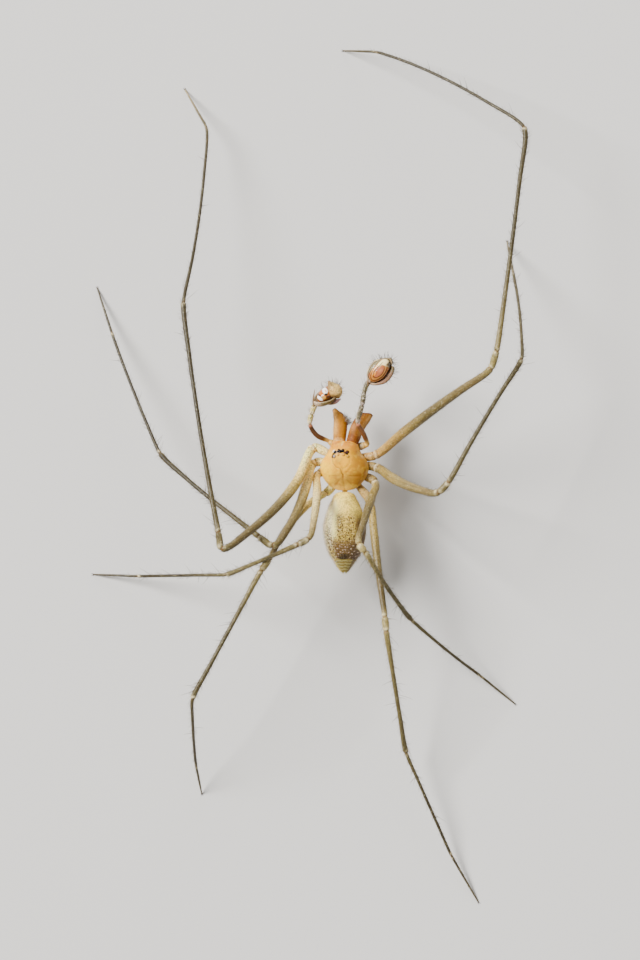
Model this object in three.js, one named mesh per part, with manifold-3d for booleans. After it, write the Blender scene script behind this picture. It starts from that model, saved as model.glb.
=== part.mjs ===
// A male spider with long thin legs, standing on its eight feet, at life size in millimetres.
// +X is its right, +Y its front and +Z up. The floor is z = 0, under the middle of its leg span.
import * as THREE from 'three';
import { mergeVertices } from 'three/addons/utils/BufferGeometryUtils.js';
import Module from 'manifold-3d';

const wasm = await Module();
wasm.setup();

// Sizes of the whole
const GAP = 0.02;
const MERGE_DISTANCE = 1e-5;
const PROSOMA_PLACE = [0.81, 0.23, 1.3];
const PROSOMA_LEAN = THREE.MathUtils.degToRad(-12);
const SIDES = ['left', 'right'];

// Carapace. Each station holds how far forward it lies, the half width,
// the height of the dome over its rim, and the height of the rim over the plane of the hips.
const CARAPACE_STATIONS = [
  [-0.565, 0.05, 0.02, 0.15],
  [-0.54, 0.2, 0.06, 0.14],
  [-0.46, 0.335, 0.14, 0.14],
  [-0.3, 0.475, 0.26, 0.14],
  [-0.08, 0.56, 0.355, 0.14],
  [0.12, 0.52, 0.395, 0.14],
  [0.28, 0.4, 0.41, 0.14],
  [0.42, 0.33, 0.37, 0.14],
  [0.52, 0.3, 0.28, 0.1],
  [0.575, 0.285, 0.23, 0.05],
];
const CARAPACE_FLOOR = 0.02;
const CARAPACE_SIDES = 22;

// Breast plate between the roots of the legs, and the lower lip in front of it
const STERNUM = { halfWidth: 0.25, halfLength: 0.4, top: 0.1, bottom: -0.14, sides: 18 };
const LABIUM = { place: [0, 0.42, -0.07], radii: [0.07, 0.06, 0.05], segments: [10, 6] };

// Eyes: how far out from the middle, how far forward, and the radius
const EYES = {
  eye_front_middle: [0.048, 0.36, 0.032],
  eye_front_outer: [0.145, 0.318, 0.037],
  eye_rear_middle: [0.062, 0.262, 0.037],
  eye_rear_outer: [0.158, 0.222, 0.037],
};
const EYE_SINKING = 0.3;
const EYE_SEGMENTS = [10, 6];

// Jaws, each through places from its base at the front of the head to its tip,
// with the half width and half depth at even steps along it
const CHELICERA = {
  left: [
    [-0.128, 0.5, 0.13],
    [-0.136, 0.9, -0.05],
    [-0.16, 1.12, -0.15],
    [-0.262, 1.31, -0.25],
  ],
  right: [
    [0.166, 0.5, 0.13],
    [0.262, 0.86, -0.03],
    [0.36, 1.04, -0.11],
    [0.5, 1.2, -0.18],
  ],
  width: [0.138, 0.148, 0.154, 0.158, 0.157, 0.13, 0.065],
  depth: [0.13, 0.15, 0.16, 0.155, 0.14, 0.11, 0.06],
  sides: 14,
};
const FANG = { reach: 0.2, back: 0.14, drop: 0.07, radii: [0.035, 0.026, 0.008], sides: 6 };

// Abdomen. Each station holds its place along y, the half width, the height over its axis,
// the depth under it, and the height of the axis over the floor.
const ABDOMEN_X = 0.782;
const ABDOMEN_STATIONS = [
  [-0.362, 0.03, 0.03, 0.03, 1.44],
  [-0.375, 0.13, 0.1, 0.09, 1.435],
  [-0.42, 0.222, 0.17, 0.15, 1.43],
  [-0.54, 0.29, 0.27, 0.24, 1.42],
  [-0.82, 0.418, 0.38, 0.35, 1.4],
  [-1.14, 0.497, 0.43, 0.4, 1.38],
  [-1.45, 0.475, 0.43, 0.4, 1.36],
  [-1.75, 0.387, 0.36, 0.33, 1.33],
  [-1.92, 0.285, 0.27, 0.25, 1.3],
  [-2.08, 0.175, 0.17, 0.16, 1.27],
  [-2.21, 0.085, 0.075, 0.07, 1.25],
];
const ABDOMEN_SIDES = 22;
const PEDICEL = { start: [0.79, -0.1, 1.28], end: [0.79, -0.6, 1.36], radius: 0.065, sides: 10 };
const SPINNERETS = {
  pad: { place: [0.782, -2.02, 1.14], radii: [0.12, 0.12, 0.09], segments: [12, 8] },
  pairs: [
    { out: 0.06, lift: -0.045, radii: [0.04, 0.036, 0.018], reach: 0.17 },
    { out: 0.075, lift: 0.045, radii: [0.034, 0.03, 0.015], reach: 0.18 },
    { out: 0.024, lift: 0.01, radii: [0.02, 0.016, 0.009], reach: 0.15 },
  ],
  sides: 6,
};

// Feelers beside the jaws. Each grows from a base with a lobe, has an arm in two lengths,
// and ends in the male's cup, which holds his bulb.
const PALP_ROOT = [0.13, 0.4, -0.06];
const PALP_BASE_RADII = [0.07, 0.078, 0.068, 0.058];
const PALP_LOBE = { place: [0.165, 0.53, -0.13], radii: [0.07, 0.11, 0.06], segments: [12, 8] };
const PALPS = {
  left: {
    arm: [
      [0.43, 0.8, 1.22],
      [0.13, 0.95, 1.4],
      [-0.015, 1.2, 1.52],
      [0.025, 1.42, 1.6],
      [0.12, 1.65, 1.66],
    ],
    cup: [0.38, 1.88, 1.7],
    along: [0.72, 0.62, -0.25],
    open: [-0.75, 0.4, 0.5],
  },
  right: {
    arm: [
      [1.32, 0.73, 1.4],
      [1.22, 0.97, 1.6],
      [1.09, 1.22, 1.72],
      [1.185, 1.63, 1.82],
      [1.295, 2.1, 1.87],
    ],
    cup: [1.6, 2.41, 1.9],
    along: [0.66, 0.75, 0.06],
    open: [-0.1, 0, 1],
  },
};
const PALP_LENGTHS = {
  palp_femur: { first: 0, last: 2, radii: [0.046, 0.058, 0.056, 0.046] },
  palp_tibia: { first: 2, last: 5, radii: [0.048, 0.056, 0.056, 0.058, 0.066, 0.075] },
};
const PALP_SIDES = 10;
const PALP_STOPS = 9;
const CUP = { radii: [0.27, 0.385, 0.2], wall: 0.055, rim: 0.06, segments: [16, 12] };
const BULB = { radii: [0.175, 0.27, 0.14], lift: 0.1, segments: [14, 10] };
const EMBOLUS = { radius: 0.13, stretch: 1.5, thickness: 0.028, lift: 0.2, arc: 4.4, steps: 10 };

// Legs. The joints of each are its hip, knee, shin (where the kneecap ends), ankle, heel and tip,
// each with its place in plan and its height over the floor. A bow is how far a length stands
// off the straight line between its joints, and then the part of the length where it does so most.
const TIP_HEIGHT = 0.008;
const ROOT_ANGLES = { 1: 54, 2: 84, 3: 112, 4: 141 };
const ROOT_DEPTH = 0.8;
const LEGS = {
  leg_left_1: {
    joints: {
      hip: [0.02, 0.7, 1.17],
      knee: [-2.05, -1.71, 4.05],
      shin: [-2.11, -1.29, 3.8],
      ankle: [-2.93, 3.98, 2.35],
      heel: [-2.38, 8.01, 0.75],
      tip: [-2.9, 8.92, TIP_HEIGHT],
    },
    bows: { femur: [0.235, -0.218, 0.12, 0.42], tibia: [-0.058, 0, 0.1], metatarsus: [0.1, 0, 0.06] },
  },
  leg_left_2: {
    joints: {
      hip: [0.065, 0.34, 1.16],
      knee: [-0.86, -1.64, 3.1],
      shin: [-1.2, -1.38, 3.05],
      ankle: [-3.46, 0.5, 1.45],
      heel: [-4.58, 3.3, 0.4],
      tip: [-4.92, 4.34, TIP_HEIGHT],
    },
    bows: {
      femur: [0.135, -0.06, 0.12, 0.57],
      tibia: [-0.027, -0.036, 0.06, 0.6],
      metatarsus: [-0.035, 0, 0.05],
    },
  },
  leg_left_3: {
    joints: {
      hip: [0.15, 0.08, 1.18],
      knee: [-0.02, -1.44, 3.3],
      shin: [-0.3, -1.575, 3.28],
      ankle: [-1.92, -2.27, 1.72],
      heel: [-3.98, -2.31, 0.33],
      tip: [-5.02, -2.27, TIP_HEIGHT],
    },
    bows: { femur: [0.062, 0, 0.09], tibia: [-0.01, -0.012, 0.08], metatarsus: [0, 0, 0.04] },
  },
  leg_left_4: {
    joints: {
      hip: [0.35, -0.42, 1.2],
      knee: [-0.94, -1.91, 2.5],
      shin: [-1.14, -2.18, 2.5],
      ankle: [-2.72, -5.11, 2.35],
      heel: [-2.64, -6.66, 0.7],
      tip: [-2.51, -7.33, TIP_HEIGHT],
    },
    bows: { femur: [-0.135, 0.125, 0.1, 0.42], tibia: [0, 0, 0.06], metatarsus: [-0.02, 0, 0.04] },
  },
  leg_right_1: {
    joints: {
      hip: [1.51, 0.46, 1.42],
      knee: [4.14, 2.44, 3.75],
      shin: [4.27, 2.88, 3.85],
      ankle: [4.94, 8.02, 2.5],
      heel: [1.51, 9.77, 0.85],
      tip: [0.75, 9.81, TIP_HEIGHT],
    },
    bows: { femur: [-0.035, 0.05, 0.12, 0.42], tibia: [0.03, 0, 0.1], metatarsus: [-0.088, 0.215, 0.06] },
  },
  leg_right_2: {
    joints: {
      hip: [1.53, 0.21, 1.45],
      knee: [2.93, -0.4, 3.7],
      shin: [3.18, -0.13, 3.75],
      ankle: [4.85, 2.67, 3.3],
      heel: [4.67, 4.67, 0.95],
      tip: [4.53, 5.41, TIP_HEIGHT],
    },
    bows: { femur: [-0.04, -0.11, 0.12], tibia: [-0.03, 0.02, 0.06], metatarsus: [0.055, 0, 0.05] },
  },
  leg_right_3: {
    joints: {
      hip: [1.525, -0.13, 1.42],
      knee: [1.075, -1.54, 2.9],
      shin: [1.265, -1.745, 2.85],
      ankle: [2.3, -3.29, 1.4],
      heel: [3.91, -4.6, 0.38],
      tip: [4.72, -5.26, TIP_HEIGHT],
    },
    bows: { femur: [-0.005, 0, 0.1], tibia: [-0.03, -0.03, 0.04], metatarsus: [-0.02, -0.025, 0.04] },
  },
  leg_right_4: {
    joints: {
      hip: [1.39, -0.58, 1.33],
      knee: [1.71, -3.22, 2.1],
      shin: [1.74, -3.58, 2.15],
      ankle: [2.19, -6.36, 0.8],
      heel: [3.24, -8.74, 0.25],
      tip: [3.87, -9.83, TIP_HEIGHT],
    },
    bows: { femur: [-0.02, 0, 0.1], tibia: [0, 0, 0.05], metatarsus: [0, 0, 0.03] },
  },
};

// Radii of each length of a leg, from its near end to its far end, and how much stouter
// or slimmer the thigh is in each pair
const LEG_RADII = {
  coxa: [0.056, 0.076, 0.104, 0.096],
  femur: [0.085, 0.1, 0.084, 0.066],
  patella: [0.07, 0.08, 0.08, 0.068],
  tibia: [0.066, 0.052, 0.048, 0.062],
  metatarsus: [0.042, 0.036, 0.034, 0.034],
  tarsus: [0.03, 0.028, 0.024, 0.015],
};
const FEMUR_GIRTH = { 1: 1.17, 2: 1.16, 3: 1, 4: 0.95 };
const LEG_LENGTHS = Object.keys(LEG_RADII);
const LEG_NODES = {
  coxa: { lengths: ['coxa'], sides: 10 },
  femur: { lengths: ['femur'], sides: 10 },
  tibia: { lengths: ['patella', 'tibia'], sides: 10 },
  foot: { lengths: ['metatarsus', 'tarsus'], sides: 8 },
};
const BEND_REACH = 0.11;
const SHORT_LENGTH = 0.8;
const WAIST = { depth: 0.16, reach: 0.05 };
const END_STOPS = [0, 0.07, 0.15];
const CLOSEST_STOPS = 0.03;
const LONGEST_STOP = 0.7;
const CURVE_SAMPLES = 2000;

const v3 = (place) => new THREE.Vector3(...place);
const mirrored = ([x, y, z], side) => [side === 'left' ? -x : x, y, z];
const grownBy = (sizes, grow) => sizes.map((size) => size + grow);

// Value part way along a list of evenly spaced values
function along(values, part) {
  const at = THREE.MathUtils.clamp(part, 0, 1) * (values.length - 1);
  const low = Math.min(Math.floor(at), values.length - 2);
  return THREE.MathUtils.lerp(values[low], values[low + 1], at - low);
}

// Joining and cutting
function solidOf(geometry) {
  const bare = new THREE.BufferGeometry();
  bare.setAttribute('position', geometry.getAttribute('position'));
  bare.setIndex(geometry.getIndex());
  const merged = mergeVertices(bare, MERGE_DISTANCE);
  const index = merged.getIndex().array;
  const kept = [];
  for (let i = 0; i < index.length; i += 3) {
    const [a, b, c] = index.slice(i, i + 3);
    if (a !== b && b !== c && c !== a) {
      kept.push(a, b, c);
    }
  }
  const vertProperties = new Float32Array(merged.getAttribute('position').array);
  return new wasm.Manifold(new wasm.Mesh({ numProp: 3, vertProperties, triVerts: new Uint32Array(kept) }));
}

// The largest closed surface of a solid, as a geometry
function geometryOf(solid) {
  const largest = solid.decompose().reduce((a, b) => (b.volume() > a.volume() ? b : a));
  const mesh = largest.getMesh();
  const geometry = new THREE.BufferGeometry();
  geometry.setAttribute('position', new THREE.BufferAttribute(mesh.vertProperties, 3));
  geometry.setIndex(new THREE.BufferAttribute(mesh.triVerts, 1));
  return geometry;
}

function cut(geometry, ...others) {
  return geometryOf(others.reduce((solid, other) => solid.subtract(solidOf(other)), solidOf(geometry)));
}

function joined(geometry, ...others) {
  return geometryOf(others.reduce((solid, other) => solid.add(solidOf(other)), solidOf(geometry)));
}

// A closed skin over rings of points, all counted the same way round
function loft(rings) {
  const sides = rings[0].length;
  const last = (rings.length - 1) * sides;
  const points = rings.flat();
  const [nearCentre, farCentre] = [points.length, points.length + 1];
  const middle = (ring) => ring.reduce((sum, p) => sum.add(p), new THREE.Vector3()).divideScalar(sides);
  points.push(middle(rings[0]), middle(rings.at(-1)));
  const index = [];
  for (let side = 0; side < sides; side += 1) {
    const next = (side + 1) % sides;
    index.push(nearCentre, next, side, farCentre, last + side, last + next);
    for (let ring = 0; ring < last; ring += sides) {
      const [a, b] = [ring + side, ring + next];
      index.push(a, b, a + sides, b, b + sides, a + sides);
    }
  }
  return new THREE.BufferGeometry().setFromPoints(points).setIndex(index);
}

// One ring round a point, square to a direction, with across pointing to its first corner
function ringRound(centre, direction, across, radius, depth, sides) {
  const up = new THREE.Vector3().crossVectors(direction, across);
  return Array.from({ length: sides }, (_, side) => {
    const angle = (2 * Math.PI * side) / sides;
    const point = centre.clone().addScaledVector(across, radius * Math.cos(angle));
    return point.addScaledVector(up, depth * Math.sin(angle));
  });
}

function curveThrough(points) {
  const curve = new THREE.CatmullRomCurve3(points, false, 'centripetal');
  curve.arcLengthDivisions = CURVE_SAMPLES;
  return curve;
}

// Distance along a curve of a place counted in its own points
function distanceOf(curve, count) {
  const part = count / (curve.points.length - 1);
  return curve.getLengths()[Math.round(CURVE_SAMPLES * part)];
}

// A closed limb along a curve. A stop holds its distance, its radius, and a depth or the
// distance whose direction its ring faces, where these differ. The rings turn with the curve
// without a twist, and frame carries the turn on from one length of a limb to the next.
function limb(curve, stops, sides, frame = {}) {
  const whole = curve.getLength();
  const partAt = (distance) => THREE.MathUtils.clamp(distance / whole, 0, 1);
  const rings = stops.map(({ at, radius, depth = radius, facing = at }) => {
    const direction = curve.getTangentAt(partAt(facing));
    if (frame.across) {
      frame.across.applyQuaternion(new THREE.Quaternion().setFromUnitVectors(frame.direction, direction));
    } else {
      frame.across = new THREE.Vector3(0, 0, 1).cross(direction).normalize();
    }
    frame.direction = direction;
    return ringRound(curve.getPointAt(partAt(at)), direction, frame.across, radius, depth, sides);
  });
  return loft(rings);
}

// A limb through places, with a radius and a depth at even steps, and grown all over if asked
function tube(places, radii, sides, { depths = radii, grow = 0 } = {}) {
  const points = places.map(v3);
  const [start, end] = [points[0].clone(), points.at(-1).clone()];
  points[0].addScaledVector(points[1].clone().sub(start).normalize(), -grow);
  points.at(-1).addScaledVector(end.sub(points.at(-2)).normalize(), grow);
  const curve = curveThrough(points);
  const count = Math.max(radii.length, 2 * places.length);
  const stops = Array.from({ length: count }, (_, stop) => {
    const part = stop / (count - 1);
    const radius = along(radii, part) + grow;
    return { at: part * curve.getLength(), radius, depth: along(depths, part) + grow };
  });
  return limb(curve, stops, sides);
}

function blob({ place = [0, 0, 0], radii, segments }, grow = 0) {
  return new THREE.SphereGeometry(1, ...segments).scale(...grownBy(radii, grow)).translate(...place);
}

// Finishes
function finish(color, roughness) {
  return () => new THREE.MeshStandardMaterial({ color, roughness, metalness: 0 });
}

const FINISHES = {
  shield: finish('#d9a55c', 0.45),
  breast: finish('#c99a5e', 0.5),
  jaw: finish('#c9833f', 0.4),
  fang: finish('#5a2413', 0.3),
  eye: finish('#1a1210', 0.1),
  leg: finish('#b3a06a', 0.5),
  palp: finish('#9a8560', 0.5),
  cup: finish('#a8956c', 0.5),
  bulb: finish('#c8744a', 0.35),
  belly: finish('#cdbf92', 0.6),
};

const spider = new THREE.Group();
const prosoma = new THREE.Group();
prosoma.position.set(...PROSOMA_PLACE);
prosoma.rotation.y = PROSOMA_LEAN;
spider.add(prosoma);
spider.updateMatrixWorld(true);

const inWorld = (geometry) => geometry.applyMatrix4(prosoma.matrixWorld);

function add(parent, name, geometry, look) {
  const mesh = new THREE.Mesh(geometry, FINISHES[look]());
  mesh.name = name;
  parent.add(mesh);
}

// Carapace, a dome on a flat rim, with a socket for each eye
function carapaceShape(grow) {
  const last = CARAPACE_STATIONS.length - 1;
  const rings = CARAPACE_STATIONS.map(([y, halfWidth, dome, rim], at) => {
    const push = grow * ((2 * at) / last - 1);
    return Array.from({ length: CARAPACE_SIDES }, (_, side) => {
      const angle = (-2 * Math.PI * side) / CARAPACE_SIDES;
      const height = (Math.sin(angle) > 0 ? dome : CARAPACE_FLOOR) + grow;
      return v3([(halfWidth + grow) * Math.cos(angle), y + push, rim + height * Math.sin(angle)]);
    });
  });
  return loft(rings);
}

// Height of the carapace's outer face over a place in plan
function carapaceHeight(x, y) {
  const after = CARAPACE_STATIONS.findIndex((station) => station[0] > y);
  const [low, high] = [CARAPACE_STATIONS[after - 1], CARAPACE_STATIONS[after]];
  const part = (y - low[0]) / (high[0] - low[0]);
  const [halfWidth, dome, rim] = [1, 2, 3].map((i) => THREE.MathUtils.lerp(low[i], high[i], part));
  return rim + dome * Math.sqrt(1 - (x / halfWidth) ** 2);
}

function eyeBall(place, radius) {
  return new THREE.SphereGeometry(radius, ...EYE_SEGMENTS).rotateX(Math.PI / 2).translate(...place);
}

function addCarapaceAndEyes() {
  const sockets = [];
  for (const [name, [out, forward, radius]] of Object.entries(EYES)) {
    for (const side of SIDES) {
      const height = carapaceHeight(out, forward) - EYE_SINKING * radius;
      const place = mirrored([out, forward, height], side);
      add(prosoma, `${name}_${side}`, eyeBall(place, radius), 'eye');
      sockets.push(eyeBall(place, radius + 0.7 * GAP));
    }
  }
  add(prosoma, 'carapace', cut(carapaceShape(0), ...sockets), 'shield');
}

// Breast plate with the lower lip
function sternumShape(grow) {
  const { halfWidth, halfLength, top, bottom, sides } = STERNUM;
  const profile = [
    [0, bottom - grow],
    [0.6, bottom * 0.9 - grow],
    [1, bottom * 0.4 - grow],
    [1, top + grow],
    [0, top + grow],
  ];
  const plate = new THREE.LatheGeometry(profile.map((point) => new THREE.Vector2(...point)), sides);
  return plate.rotateX(Math.PI / 2).scale(halfWidth + grow, halfLength + grow, 1);
}

function addSternum() {
  add(prosoma, 'sternum', joined(sternumShape(0), blob(LABIUM)), 'breast');
}

// Jaws that stand out in front of the head, and the fangs folded in under their tips
function cheliceraShape(side, grow) {
  const { width, depth, sides } = CHELICERA;
  return tube(CHELICERA[side], width, sides, { depths: depth, grow });
}

function addJaws() {
  const face = CARAPACE_STATIONS.at(-1)[0] + GAP;
  const head = new THREE.BoxGeometry(2, 2, 2).translate(0, face - 1, 0);
  for (const side of SIDES) {
    add(prosoma, `chelicera_${side}`, cut(cheliceraShape(side, 0), head), 'jaw');
    const [x, y, z] = CHELICERA[side].at(-1);
    const inward = side === 'left' ? FANG.reach : -FANG.reach;
    const root = [x, y - 0.06, z];
    const bend = [x + 0.45 * inward, y - 0.04, z - FANG.drop];
    const point = [x + inward, y - FANG.back, z - FANG.drop];
    const fang = tube([root, bend, point], FANG.radii, FANG.sides);
    add(prosoma, `fang_${side}`, cut(fang, cheliceraShape(side, GAP)), 'fang');
  }
}

// Abdomen with its stalk and spinnerets
function abdomenShape(grow) {
  const last = ABDOMEN_STATIONS.length - 1;
  const rings = ABDOMEN_STATIONS.map(([y, halfWidth, up, down, axis], at) => {
    const push = grow * (1 - (2 * at) / last);
    return Array.from({ length: ABDOMEN_SIDES }, (_, side) => {
      const angle = (2 * Math.PI * side) / ABDOMEN_SIDES;
      const height = (Math.sin(angle) > 0 ? up : down) + grow;
      const x = ABDOMEN_X + (halfWidth + grow) * Math.cos(angle);
      return v3([x, y + push, axis + height * Math.sin(angle)]);
    });
  });
  return loft(rings);
}

function addAbdomen() {
  add(spider, 'abdomen', abdomenShape(0), 'belly');
  const stalk = tube([PEDICEL.start, PEDICEL.end], [PEDICEL.radius, PEDICEL.radius], PEDICEL.sides);
  add(spider, 'pedicel', cut(stalk, inWorld(sternumShape(GAP)), abdomenShape(GAP)), 'breast');
}

function addSpinnerets() {
  const { pad, pairs, sides } = SPINNERETS;
  const [x, y, z] = pad.place;
  const cones = [];
  for (const { out, lift, radii, reach } of pairs) {
    for (const across of [-out, out]) {
      const point = [x + 0.8 * across, y - reach, z + 1.2 * lift];
      cones.push(tube([[x + across, y, z + lift], point], radii, sides));
    }
  }
  add(spider, 'spinnerets', cut(joined(blob(pad), ...cones), abdomenShape(GAP)), 'belly');
}

// Feelers
function palpBase(side, first) {
  const root = v3(mirrored(PALP_ROOT, side)).applyMatrix4(prosoma.matrixWorld);
  const arm = tube([root.toArray(), first], PALP_BASE_RADII, PALP_SIDES);
  const lobe = blob({ ...PALP_LOBE, place: mirrored(PALP_LOBE.place, side) });
  const around = [sternumShape(GAP), carapaceShape(GAP), cheliceraShape(side, GAP), blob(LABIUM, GAP)];
  return cut(joined(arm, inWorld(lobe)), ...around.map(inWorld));
}

// One length of a feeler's arm
function palpLength(curve, { first, last, radii }, grow, turn) {
  const [start, end] = [distanceOf(curve, first), distanceOf(curve, last)];
  const stops = Array.from({ length: PALP_STOPS }, (_, stop) => {
    const part = stop / (PALP_STOPS - 1);
    const near = start + (first === 0 ? GAP : GAP / 2) - grow;
    const at = THREE.MathUtils.lerp(near, end - GAP / 2 + grow, part);
    return { at, radius: along(radii, part) + grow, facing: { 0: start, 1: end }[part] };
  });
  return limb(curve, stops, PALP_SIDES, turn);
}

// Turns the cup's own frame, with its length along y and its open face up, to its place
function cupFrame({ cup, along: length, open }) {
  const forward = v3(length).normalize();
  const across = forward.clone().cross(v3(open)).normalize();
  return new THREE.Matrix4().makeBasis(across, forward, across.clone().cross(forward)).setPosition(...cup);
}

function cupShape() {
  const hollow = blob({ ...CUP, radii: grownBy(CUP.radii, -CUP.wall), place: [0, 0, CUP.rim] });
  const lid = new THREE.BoxGeometry(2, 2, 1).translate(0, 0, CUP.rim + 0.5);
  return cut(blob(CUP), hollow, lid);
}

// The bulb, with its long thread coiled on the open side
function bulbShape() {
  const { radius, stretch, thickness, lift, arc, steps } = EMBOLUS;
  const thread = Array.from({ length: steps + 1 }, (_, step) => {
    const angle = (arc * step) / steps;
    const reach = radius * (1 - (0.3 * step) / steps);
    return [reach * Math.cos(angle), reach * stretch * Math.sin(angle), lift];
  });
  const coil = tube(thread, [thickness, thickness, 0.6 * thickness], 6);
  return joined(blob({ ...BULB, place: [0, 0, BULB.lift] }), coil);
}

function addPalps() {
  for (const side of SIDES) {
    const palp = PALPS[side];
    const frame = cupFrame(palp);
    const cup = blob(CUP, GAP).applyMatrix4(frame);
    const curve = curveThrough([...palp.arm, palp.cup].map(v3));
    const { palp_femur: femur, palp_tibia: tibia } = PALP_LENGTHS;
    const turn = {};
    const base = cut(palpBase(side, palp.arm[0]), palpLength(curve, femur, GAP, {}));
    add(spider, `palp_coxa_${side}`, base, 'breast');
    add(spider, `palp_femur_${side}`, palpLength(curve, femur, 0, turn), 'palp');
    add(spider, `palp_tibia_${side}`, cut(palpLength(curve, tibia, 0, turn), cup), 'palp');
    add(spider, `cymbium_${side}`, cupShape().applyMatrix4(frame), 'cup');
    add(spider, `palp_bulb_${side}`, bulbShape().applyMatrix4(frame), 'bulb');
  }
}

// Where a leg grows from the breast plate, inside its edge
function legRoot(side, pair) {
  const angle = THREE.MathUtils.degToRad(ROOT_ANGLES[pair]);
  const across = ROOT_DEPTH * STERNUM.halfWidth * Math.sin(angle);
  const forward = ROOT_DEPTH * STERNUM.halfLength * Math.cos(angle);
  return v3(mirrored([across, forward, 0], side)).applyMatrix4(prosoma.matrixWorld);
}

// Centre line of a leg from its root to its tip, with the distance along it of each joint
function legLine(root, { joints, bows }) {
  const places = [root, ...Object.values(joints).map(v3)];
  const points = [];
  const marks = [0];
  for (const [at, name] of LEG_LENGTHS.entries()) {
    const [from, to] = [places[at], places[at + 1]];
    const reach = BEND_REACH / from.distanceTo(to);
    const [x, y, z, peak = 0.5] = bows[name] ?? [0, 0, 0];
    const power = Math.log(0.5) / Math.log(peak);
    const middles = from.distanceTo(to) < SHORT_LENGTH ? [0.5] : [0.25, 0.5, 0.75];
    const near = at === 0 ? 0 : reach;
    const far = at === LEG_LENGTHS.length - 1 ? 1 : 1 - reach;
    for (const part of [near, ...middles, far]) {
      const share = 4 * part ** power * (1 - part ** power);
      points.push(from.clone().lerp(to, part).addScaledVector(v3([x, y, z]), share));
    }
    marks.push(far === 1 ? points.length - 1 : points.length - 0.5);
  }
  const curve = curveThrough(points);
  return { curve, distances: marks.map((mark) => distanceOf(curve, mark)) };
}

// Radius of a leg at a distance along it, drawn in a little at each joint
function legRadius(distance, distances, pair) {
  const after = distances.findIndex((joint) => joint > distance);
  const at = after === -1 ? LEG_LENGTHS.length - 1 : Math.max(after - 1, 0);
  const part = (distance - distances[at]) / (distances[at + 1] - distances[at]);
  const nearest = Math.min(...distances.slice(1, -1).map((joint) => Math.abs(joint - distance)));
  const waist = 1 - WAIST.depth * Math.exp(-((nearest / WAIST.reach) ** 2));
  const girth = LEG_LENGTHS[at] === 'femur' ? FEMUR_GIRTH[pair] : 1;
  return along(LEG_RADII[LEG_LENGTHS[at]], part) * waist * girth;
}

// Distances of a node's rings: close together at its ends and joints, and wide between them
function legStops(knots) {
  const stops = new Set();
  for (const [at, low] of knots.slice(0, -1).entries()) {
    const high = knots[at + 1];
    const free = high - low - 2 * END_STOPS.at(-1);
    for (const stop of END_STOPS.filter((each) => 2 * each + CLOSEST_STOPS < high - low)) {
      stops.add(low + stop).add(high - stop);
    }
    const count = Math.ceil(free / LONGEST_STOP);
    for (let step = 1; step < count; step += 1) {
      stops.add(low + END_STOPS.at(-1) + (free * step) / count);
    }
  }
  return [...stops].sort((a, b) => a - b);
}

function addLeg(name, leg) {
  const [, side, pair] = name.split('_');
  const { curve, distances } = legLine(legRoot(side, pair), leg);
  const floor = new THREE.BoxGeometry(30, 30, 1).translate(0, 0, -0.5);
  const plate = inWorld(sternumShape(GAP));
  const turn = {};
  for (const [node, { lengths, sides }] of Object.entries(LEG_NODES)) {
    const first = LEG_LENGTHS.indexOf(lengths[0]);
    const last = first + lengths.length;
    const inner = distances.slice(first + 1, last);
    const start = distances[first] + (node === 'coxa' ? 0 : GAP / 2);
    const end = distances[last] - (node === 'foot' ? 0 : GAP / 2);
    const faces = { [start]: distances[first], [end]: distances[last] };
    const stops = legStops([start, ...inner, end]).map((at) => {
      return { at, radius: legRadius(at, distances, pair), facing: faces[at] };
    });
    const shape = limb(curve, stops, sides, turn);
    const trimmed = { coxa: () => cut(shape, plate), foot: () => cut(shape, floor) }[node];
    add(spider, `${name}_${node}`, trimmed ? trimmed() : shape, 'leg');
  }
}

addCarapaceAndEyes();
addSternum();
addJaws();
addAbdomen();
addSpinnerets();
addPalps();
for (const [name, leg] of Object.entries(LEGS)) {
  addLeg(name, leg);
}

export default spider;
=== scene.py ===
import math

import bpy
import numpy as np
from mathutils import Matrix, Vector


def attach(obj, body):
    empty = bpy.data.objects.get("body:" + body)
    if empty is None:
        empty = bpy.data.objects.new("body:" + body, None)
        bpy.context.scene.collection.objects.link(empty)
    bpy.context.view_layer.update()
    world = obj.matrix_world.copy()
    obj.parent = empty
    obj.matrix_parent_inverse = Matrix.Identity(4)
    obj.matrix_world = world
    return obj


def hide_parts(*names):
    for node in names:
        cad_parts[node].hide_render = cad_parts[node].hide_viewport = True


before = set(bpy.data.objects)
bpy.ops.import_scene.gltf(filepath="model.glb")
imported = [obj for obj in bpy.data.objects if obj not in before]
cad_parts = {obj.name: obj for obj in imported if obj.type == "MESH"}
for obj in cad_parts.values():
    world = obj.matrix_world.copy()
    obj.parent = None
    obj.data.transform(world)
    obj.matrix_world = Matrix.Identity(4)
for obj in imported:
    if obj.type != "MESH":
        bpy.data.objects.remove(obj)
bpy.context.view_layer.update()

MM = 0.001
SEED = 21
TAU = 2 * math.pi
# Least weight of a place on a skin where hardly a hair grows
FAINT = 1e-6

# Camera and stage
PHOTO_SIZE = (640, 960)
PIXELS_PER_MM = 43.5
ORIGIN_PIXEL = (310.5, 476)
FOCUS_HEIGHT = 1.9
LENS = 900
SENSOR = 36
NEAREST_SHOWN, FARTHEST_SHOWN = 0.1, 10
FLOOR_SPAN = 3000
FLOOR_HEIGHT = -0.001
SKY_STRENGTH = 0.24
# Place, size and power of each lamp
LAMPS = {"key": ((-330, 190, 370), 220, 8.0), "fill": ((330, -120, 300), 300, 0.45),
         "rim": ((60, 420, 200), 200, 0.9)}
LIT_PLACE = (0.2, 0, 0)

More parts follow.
